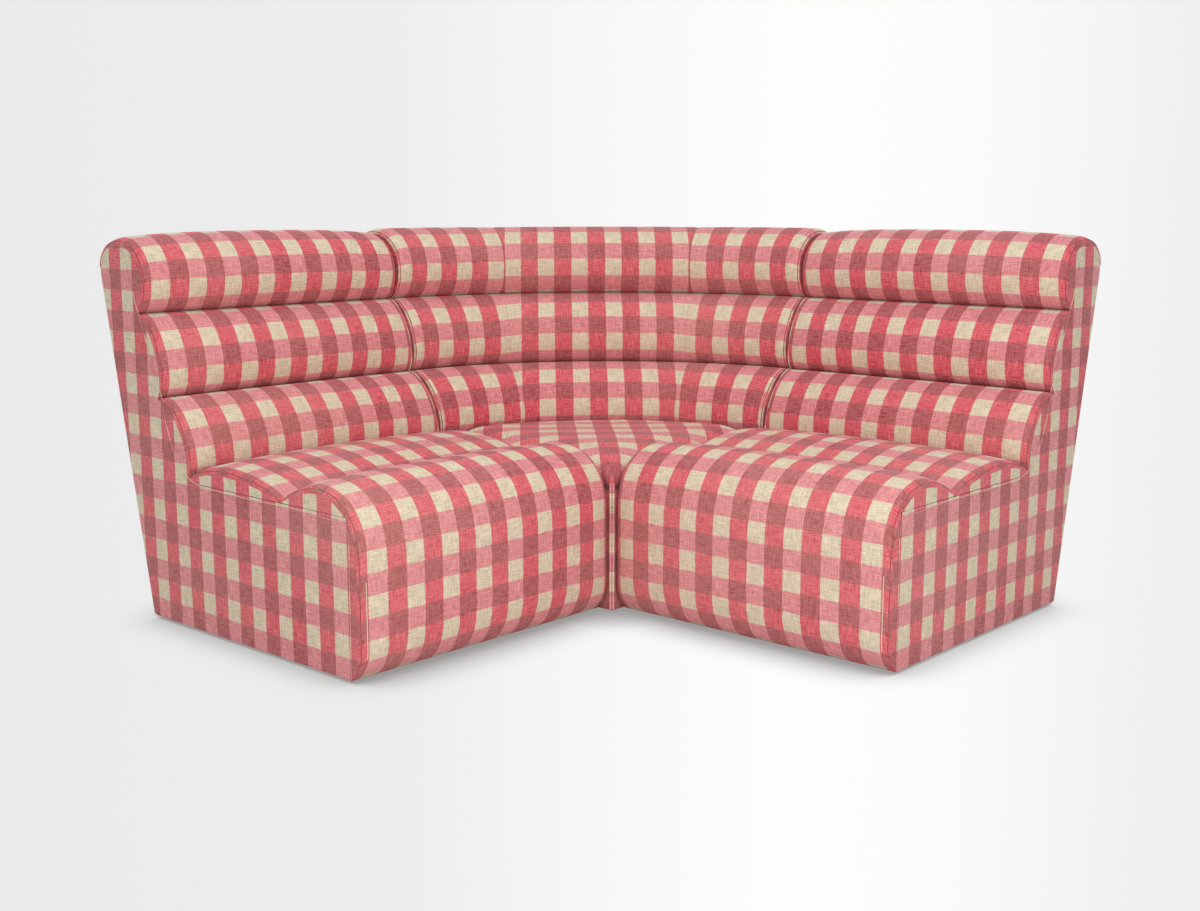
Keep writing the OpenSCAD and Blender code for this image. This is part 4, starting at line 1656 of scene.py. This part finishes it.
    def dust_covers(self) -> None:
        """Staples a cloth under each frame, sagging a little between its staples."""
        s = self.sizes
        x0, x1 = s.side_t + STAPLE_EDGE, s.body_w - s.side_t - STAPLE_EDGE
        y0, y1 = s.front_roll_t + self.sheet_front, s.rear_y(s.glide_h) - STAPLE_REAR
        rows = []
        for b in shares(self.sheet_cells):
            row = []
            for a in shares(self.sheet_cells):
                row.append(Vector((x0 + (x1 - x0) * a, y0 + (y1 - y0) * b, self.sheet_z(a, b))))
            rows.append(row)
        cover = Cover("left_dust_cover")
        cover.lay(rows)
        cover.place(s.straight_spot)
        left = cover.build(self.finishes.plain["dust_cloth"])
        self.sheet(left, "left", self.sheet_flat)
        self.sheet(mirrored(left, "right_dust_cover_cover"), "right", self.sheet_flat)


@dataclass
class CornerUnit(Unit):
    """The corner unit: a quarter circle about the tip of its seat. Its own places start at the tip.

    Angles are in degrees from the middle.
    """

    side_angles: tuple[float, ...] = (41.6, *range(40, 22, -2), 22.2)
    seam_angles: tuple[float, ...] = (0.5, 0.16, 0.0, -0.16, -0.5)
    middle_angles: tuple[float, ...] = (18.4, 16.8, *range(15, 0, -2))
    seam_reach: float = 0.022
    bolster_fill: float = 0.75
    panel_inset: float = 0.0006
    panel_cells: int = 60
    panel_tuck: float = 26.0
    panel_radius: float = 0.87
    pad_shares: tuple[float, ...] = (
        0.0, 0.004, 0.012, 0.025, 0.045, 0.07, 0.10, 0.14, 0.19,
        0.25, 0.32, 0.40, 0.50, 0.62, 0.76, 0.90, 1.0,
    )
    pad_check: tuple[float, float] = (0.048, 0.0448)
    pad_middle: float = 0.346
    pad_reach: float = 0.014
    pad_heart: float = 0.53
    pad_base: float = 0.97
    pad_cells: tuple[int, int] = (22, 32)
    pad_dip: float = 0.030
    pad_dip_w: float = 0.075
    pad_dip_power: float = 2.2
    pad_dip_start: float = 0.2
    pad_lumps: tuple[float, float] = (0.0015, 8.0)
    pad_calm: float = 12.0
    pad_least: float = 0.004
    pad_weld: float = 0.00004
    pad_fill: float = 0.8
    pad_seam_cells: int = 28
    pad_seam_run: float = 0.0055
    pad_seam_start: float = 0.004
    pad_seam_length: float = 0.58
    pad_seam_lift: float = 0.002
    pad_nose_dip: float = 0.006
    sheet_cells: tuple[int, int] = (20, 32)
    sheet_flat: tuple[float, float] = (1.050, 0.730)

    def at_tip(self, x: float, y: float, z: float) -> Vector:
        """A place measured from the tip, in the sofa's frame."""
        return Vector((x, y - self.sizes.middle_y, z))

    def beside(self, run: float, y: float, z: float) -> Vector:
        """A place at a distance from the left side plane and at depth y."""
        depth = y - self.sizes.front_stand
        return Vector(((run - depth) * SIN45, (run + depth) * SIN45, z))

    def turned(self, angle: float, y: float, z: float) -> Vector:
        """A place at an angle about the tip and at depth y."""
        depth = y - self.sizes.front_stand
        return Vector((depth * math.sin(angle), depth * math.cos(angle), z))

    def hold(self, roll: Roll) -> Hold:
        """How firmly a bolster's cloth is held: at its ends, its creases and its panel seams.

        Args:
            roll: Which bolster.

        Returns:
            A function of the place.
        """
        seams = self.seams(roll)
        plan = CORNER_PLANS[roll]

        def held(v: Vector) -> float:
            """Weighs one place.

            Args:
                v: The place.

            Returns:
                Its weight from 0 to 1.
            """
            up, x = v.y + self.sizes.middle_y, abs(v.x)
            radius = math.hypot(x, up)
            panel = math.radians(abs(math.degrees(math.atan2(x, up)) - plan.seam)) * radius
            seam = min(math.dist((radius + self.sizes.front_stand, v.z), spot) for spot in seams)
            return firmness((up - x) * SIN45, seam, 1.1 - panel / self.seam_reach)

        return held

    def bolster(self, roll: Roll) -> Cover:
        """A bolster turned about the tip and sewn from three panels.

        Args:
            roll: Which bolster.

        Returns:
            The cover.
        """
        s, plan = self.sizes, CORNER_PLANS[roll]
        half: list[Ring] = []
        for d in self.edge_stations():
            half.append([self.beside(s.unit_gap / 2 + d, y, z) for y, z in self.ring(roll, s.rounded(d))])
        seam = [plan.seam + t for t in self.seam_angles]
        for a in (*self.side_angles, *seam, *self.middle_angles):
            pull = self.trims.seam_sink * max(0.0, 1 - abs(a - plan.seam) / 0.5) ** 1.5
            half.append([self.turned(-math.radians(a), y, z) for y, z in self.ring(roll, pull)])
        rows = half + [across_middle(ring) for ring in reversed(half)]
        cover = Cover("corner_" + roll.value)
        cover.lay(rows)
        self.map_bolster(cover, rows, roll)
        cover.weld()
        cover.mark(lambda v: (RED_COLUMN, self.checks.side_row(v.z)), cover.close())
        return cover

    def map_bolster(self, cover: Cover, rows: list[Ring], roll: Roll) -> None:
        """Gives a bolster its checks, panel by panel.

        Args:
            cover: The bolster before it is welded.
            rows: Its rings.
            roll: Which bolster it is.
        """
        plan, lengths = CORNER_PLANS[roll], run_lengths(self.ring(roll, 0.0))
        last = len(lengths) - 1

        def key(p: Vector) -> tuple[float, ...]:
            """A place as a key."""
            return tuple(round(part, 5) for part in p)

        order = {key(v): i % last for ring in rows for i, v in enumerate(ring)}
        for f in cover.bm.faces:
            mid = f.calc_center_median()
            middle = abs(math.degrees(math.atan2(mid.x, mid.y))) <= plan.seam
            ids = [order[key(loop.vert.co)] for loop in f.loops]
            wraps = max(ids) - min(ids) > len(lengths) // 2
            for loop, i in zip(f.loops, ids):
                p = loop.vert.co
                length = lengths[-1] if wraps and i == 0 else lengths[i]
                angle = math.degrees(math.atan2(p.x, p.y))
                column = plan.column(angle, math.hypot(p.x, p.y), self.checks.square, middle)
                row = (length - plan.row_centre(angle, middle)) / self.checks.row + 0.5
                loop[cover.uv].uv = (column, row)

    def rear_panel(self) -> Cover:
        """The rear, one panel bent about the tip.

        Returns:
            The cover.
        """
        s = self.sizes
        inset = s.unit_gap / 2 + s.side_t + self.panel_inset

        def lay(a: float, z: float, out: float) -> tuple[Vector, float]:
            """Lays one place of the rear.

            Args:
                a: Its share of the way round.
                z: Its height.
                out: How far it stands out.

            Returns:
                The place and its column.
            """
            reach = math.pi / 4 - math.asin(inset / (s.rear_y(z) - s.front_stand))
            angle = reach * (2 * a - 1)
            column = angle * self.panel_radius / self.checks.square + RED_COLUMN
            return self.turned(angle, s.rear_y(z) + out, z), column

        return self.panel("corner_rear_panel", self.panel_cells, self.panel_tuck, lay)

    def pad_height(self, x: float, y: float) -> float:
        """Height of the seat pad over a place.

        Args:
            x: Distance to the right of the tip.
            y: Distance behind it.

        Returns:
            The height above the floor.
        """
        s = self.sizes
        crest = s.deck_h + s.pad_t - s.corner_deck_drop
        edge = s.corner_deck_h + s.pad_edge_t
        g, h = (x + y) * SIN45 - s.unit_gap / 2, (y - x) * SIN45 - s.unit_gap / 2
        d = g * h / (g + h) if g * h > 0 else 0.0
        rise = min(1.0, d / s.pad_edge_w)
        return edge + (crest - edge) * math.sqrt(1 - (1 - rise) ** 2)

    def seat_pad(self) -> Cover:
        """The seat pad: a crowned quarter-round cushion with a pointed nose.

        Returns:
            The cover.
        """
        s = self.sizes
        back = s.foot[0] - s.pad_back_gap
        r = back - s.front_stand + self.pad_reach
        side = s.unit_gap / 2
        tip = Vector((0.0, side * 2 * SIN45))
        left = Vector(((side - r) * SIN45, (side + r) * SIN45))
        reach = math.pi / 4 - math.asin(side / r)
        along, round_back = self.pad_cells
        half = [tip.lerp(left, a) for a in shares(along)[:-1]]
        turns = [reach * (2 * b - 1) for b in shares(round_back)]
        arc = [Vector((r * math.sin(a), r * math.cos(a))) for a in turns]
        rim = half + arc + [Vector((-p.x, p.y)) for p in reversed(half[1:])] + [tip]
        heart = Vector((0.0, back * self.pad_heart))
        base, k = s.corner_deck_h, self.pad_base
        rows = [[Vector((p.x * k, heart.y + (p.y - heart.y) * k, base)) for p in rim]]
        for share in self.pad_shares:
            row = []
            for p in rim:
                q = p.lerp(heart, share)
                z = self.pad_height(q.x, q.y)
                if q.y > self.pad_dip_start:
                    close = max(0.0, 1 - (r - q.length) / self.pad_dip_w)
                    z -= self.pad_dip * close**self.pad_dip_power
                lump = self.uneven(q.x, q.y, z, *self.pad_lumps) * min(1.0, share * self.pad_calm)
                row.append(Vector((q.x, q.y, max(z, base + self.pad_least) + lump)))
            rows.append(row)
        cover = Cover("corner_seat_pad")
        cover.lay(rows)
        cover.weld(self.pad_weld)
        cover.close()
        width, depth = self.pad_check
        cover.mark(lambda v: (v.x / width + RED_COLUMN, (v.y - self.pad_middle) / depth + 0.5))
        return cover

    def pad_edges(self) -> list[list[Vector]]:
        """The two side edges of the seat pad, from its nose back.

        Returns:
            The two paths.
        """
        s = self.sizes
        left = []
        for t in shares(self.pad_seam_cells):
            z = s.corner_deck_h + s.pad_edge_t - self.pad_nose_dip * (1 - t) ** 6 + self.pad_seam_lift
            y = s.front_stand + self.pad_seam_start + self.pad_seam_length * t
            left.append(self.beside(self.pad_seam_run, y, z))
        return [left, across_middle(left)]

    def add(
        self, cover: Cover, material: bpy.types.Material, node: str = "", fill: Optional[float] = None
    ) -> None:
        """Builds a cover on the corner unit, hangs it on the unit's body and hides the solid that it stands
        for.
        """
        cover.place(self.at_tip)
        self.declare(cover.build(material), "corner_unit", node, fill)

    def trim(self) -> None:
        """Sews on the welts, the panel seams and the strips at the tip."""
        s, t = self.sizes, self.trims
        cloth, welt = self.finishes.check, self.finishes.welt
        ends = []
        for roll in CORNER_PLANS:
            section = self.sections.of(roll, s.rounded(t.back) + t.sunk)
            ends.append([self.beside(s.unit_gap / 2 + t.back, y, z) for y, z in section])
        ends += [across_middle(path) for path in ends]
        self.add(self.welts("corner_join_welts", ends, t.corner_join), welt)
        angle = math.radians(CORNER_PLANS[Roll.TOP].seam)
        section = self.sections.of(Roll.TOP, t.seam_sink)
        seams = [[self.turned(side * angle, y, z) for y, z in section] for side in (-1, 1)]
        self.add(self.welts("corner_seam_welts", seams, t.corner_seam), welt)
        posts = []
        for x in (-t.tip_strip_x, t.tip_strip_x):
            post = [Vector((x, t.tip_strip_y, z)) for z in t.tip_strip_ends]
            posts.append(dense(post, t.tip_strip_step))
        strips = self.welts("corner_tip_strips", posts, t.tip_strip)
        strips.mark(lambda v: (CREAM_COLUMN, self.checks.side_row(v.z)))
        self.add(strips, cloth)
        self.add(self.welts("corner_pad_welts", self.pad_edges(), t.pad_welt), welt)

    def dress(self) -> None:
        """Covers the corner unit."""
        cloth = self.finishes.check
        for roll in CORNER_PLANS:
            cover = self.bolster(roll)
            cover.place(self.at_tip)
            piece = cover.build(cloth)
            self.stuffing.settle(piece, self.hold(roll))
            self.declare(piece, "corner_unit", "corner_" + roll.value, self.bolster_fill)
        self.add(self.rear_panel(), cloth, "corner_rear_panel", self.panel_fill)
        self.add(self.seat_pad(), cloth, "corner_seat_pad", self.pad_fill)
        left = self.board("corner_left_side")
        self.declare(left, "corner_unit", "corner_left_side", self.panel_fill)
        right = mirrored(left, "corner_right_side_cover")
        self.declare(right, "corner_unit", "corner_right_side", self.panel_fill)
        self.trim()

    def dust_cover(self) -> None:
        """Staples a quarter circle of cloth under the frame."""
        s = self.sizes
        inset = s.unit_gap / 2 + s.side_t + STAPLE_EDGE
        far = s.rear_y(s.glide_h) - STAPLE_REAR - s.front_stand
        near = inset * 2 * SIN45 + 0.004
        deep, wide = self.sheet_cells
        rows = []
        for b in shares(deep):
            r = near + (far - near) * b
            reach = max(0.0005, math.pi / 4 - math.asin(min(1.0, inset / r)))
            row = []
            for a in shares(wide):
                row.append(self.turned(reach * (2 * a - 1), r + s.front_stand, self.sheet_z(a, b)))
            rows.append(row)
        cover = Cover("corner_dust_cover")
        cover.lay(rows)
        cover.place(self.at_tip)
        self.sheet(cover.build(self.finishes.plain["dust_cloth"]), "corner", self.sheet_flat)


@dataclass(frozen=True)
class Lamp:
    """One soft studio lamp."""

    name: str
    place: tuple[float, float, float]
    aim: tuple[float, float, float]
    size: tuple[float, float]
    power: float


LAMPS: tuple[Lamp, ...] = (
    Lamp("overhead", (0.0, -0.5, 3.4), (0.0, 0.0, 0.3), (3.4, 2.6), 26.0),
    Lamp("key_front", (0.26, -2.7, 1.75), (-0.02, 0.0, 0.35), (1.9, 1.5), 36.5),
    Lamp("rear", (0.4, 3.4, 1.5), (0.0, 0.2, 0.4), (3.0, 1.6), 34.0),
    Lamp("fill_left", (-2.6, -3.0, 2.2), (0.0, 0.0, 0.4), (2.4, 2.0), 10.0),
)


@dataclass(frozen=True)
class Studio:
    """The camera at the photograph's viewing angle, the soft lamps and the pale floor."""

    eye: tuple[float, float, float] = (-0.2045, -3.62036, 0.9678)
    tilt: float = 80.286
    pan: float = -2.957
    lens: float = 44.142
    sensor: float = 36.0
    greys: tuple[Point, ...] = (
        (0.0, 0.825),
        (0.33, 0.850),
        (0.5, 0.930),
        (0.66, 0.985),
        (0.8, 0.975),
        (1.0, 0.870),
    )
    grey_slope: float = 1.25
    grey_start: float = 0.44
    least_ahead: float = 0.3
    room_grey: float = 0.80
    room_light: float = 0.64
    floor_radius: float = 14.0
    floor_grey: float = 0.82
    shadow: str = "77706E"
    shadow_reach: float = 0.15
    shadow_depth: float = 0.80

    def camera(self) -> None:
        """Stands the camera where the photograph was taken from."""
        lens = bpy.data.cameras.new("camera")
        lens.lens = self.lens
        lens.sensor_width = self.sensor
        lens.sensor_fit = "HORIZONTAL"
        view = bpy.data.objects.new("camera", lens)
        view.location = self.eye
        view.rotation_euler = (math.radians(self.tilt), 0.0, math.radians(self.pan))
        bpy.context.scene.collection.objects.link(view)
        bpy.context.scene.camera = view

    def lamps(self) -> None:
        """Hangs the lamps."""
        for lamp in LAMPS:
            light = bpy.data.lights.new(lamp.name, "AREA")
            light.shape = "RECTANGLE"
            light.size, light.size_y = lamp.size
            light.energy = lamp.power
            piece = bpy.data.objects.new(lamp.name, light)
            piece.location = lamp.place
            aim = Vector(lamp.aim) - Vector(lamp.place)
            piece.rotation_euler = aim.to_track_quat("-Z", "Y").to_euler()
            piece.visible_camera = False
            bpy.context.scene.collection.objects.link(piece)

    def backdrop(self, n: Nodes, toward: object) -> bpy.types.NodeSocket:
        """Colour of the backdrop, palest a little right of the middle.

        Args:
            n: The builder of the world's nodes.
            toward: The direction of the view.

        Returns:
            The colour.
        """
        split = n.add("ShaderNodeSeparateXYZ")
        n.put(split, 0, toward)
        ahead = n.math("MAXIMUM", n.math("ABSOLUTE", split.outputs[1]), self.least_ahead)
        slant = n.math("DIVIDE", split.outputs[0], ahead)
        ramp = n.add("ShaderNodeValToRGB")
        stops = ramp.color_ramp.elements
        for k, (place, grey) in enumerate(self.greys):
            stop = stops[k] if k < 2 else stops.new(place)
            stop.position = place
            stop.color = (grey, grey, grey, 1.0)
        n.put(ramp, 0, n.math("MULTIPLY_ADD", slant, self.grey_slope, self.grey_start))
        return ramp.outputs[0]

    def world(self) -> None:
        """A pale room: nearly white behind the sofa, softer where it lights it."""
        world = bpy.data.worlds.new("room")
        world.use_nodes = True
        world.node_tree.nodes.clear()
        n = Nodes(world.node_tree)
        seen = n.seen()
        view = self.backdrop(n, n.add("ShaderNodeTexCoord").outputs["Generated"])
        colour = n.mix(seen, (self.room_grey,) * 3 + (1.0,), view)
        strength = n.math("MULTIPLY_ADD", seen, 1.0 - self.room_light, self.room_light)
        n.put(n.add("ShaderNodeOutputWorld"), 0, n.chain("ShaderNodeBackground", (colour, strength)))
        bpy.context.scene.world = world

    def floor(self) -> None:
        """A round floor that lets the pale backdrop show, with a painted shadow that darkens it softly under
        the sofa.
        """
        bm = bmesh.new()
        bmesh.ops.create_circle(bm, cap_ends=True, segments=96, radius=self.floor_radius)
        mesh = bpy.data.meshes.new("studio_floor")
        bm.to_mesh(mesh)
        bm.free()
        material = bpy.data.materials.new("studio_floor")
        material.use_nodes = True
        material.node_tree.nodes.clear()
        n = Nodes(material.node_tree)
        seen = n.seen()
        # Painted shadow: ambient occlusion mixes the seen floor toward the shadow colour near the sofa.
        near = n.add("ShaderNodeAmbientOcclusion", samples=8)
        n.put(near, "Distance", self.shadow_reach)
        shade = n.remap(near.outputs[1], (0.10, 0.98), (self.shadow_depth, 0.0))
        clear = n.add("ShaderNodeBsdfTransparent").outputs[0]
        painted_shadow = n.chain("ShaderNodeEmission", (srgb(self.shadow),))
        matt = n.chain("ShaderNodeBsdfDiffuse", ((self.floor_grey,) * 3 + (1.0,),))
        ground = n.chain("ShaderNodeMixShader", (shade, clear, painted_shadow))
        n.put(n.add("ShaderNodeOutputMaterial"), 0, n.chain("ShaderNodeMixShader", (seen, matt, ground)))
        put_in_scene("studio_floor", mesh, material)

    def set_up(self) -> None:
        """Sets the whole studio up."""
        self.camera()
        self.lamps()
        self.world()
        self.floor()
        bpy.context.scene.view_settings.view_transform = "Standard"


def main() -> None:
    """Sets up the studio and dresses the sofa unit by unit."""
    logging.basicConfig(level=logging.INFO, format="%(name)s: %(message)s")
    Studio().set_up()
    finishes = Finishes(FabricLook())
    finishes.finish_frame()
    straight, corner = StraightUnit(finishes), CornerUnit(finishes)
    straight.dress()
    corner.dress()
    straight.dust_covers()
    corner.dust_cover()


if __name__ == "__main__":
    main()
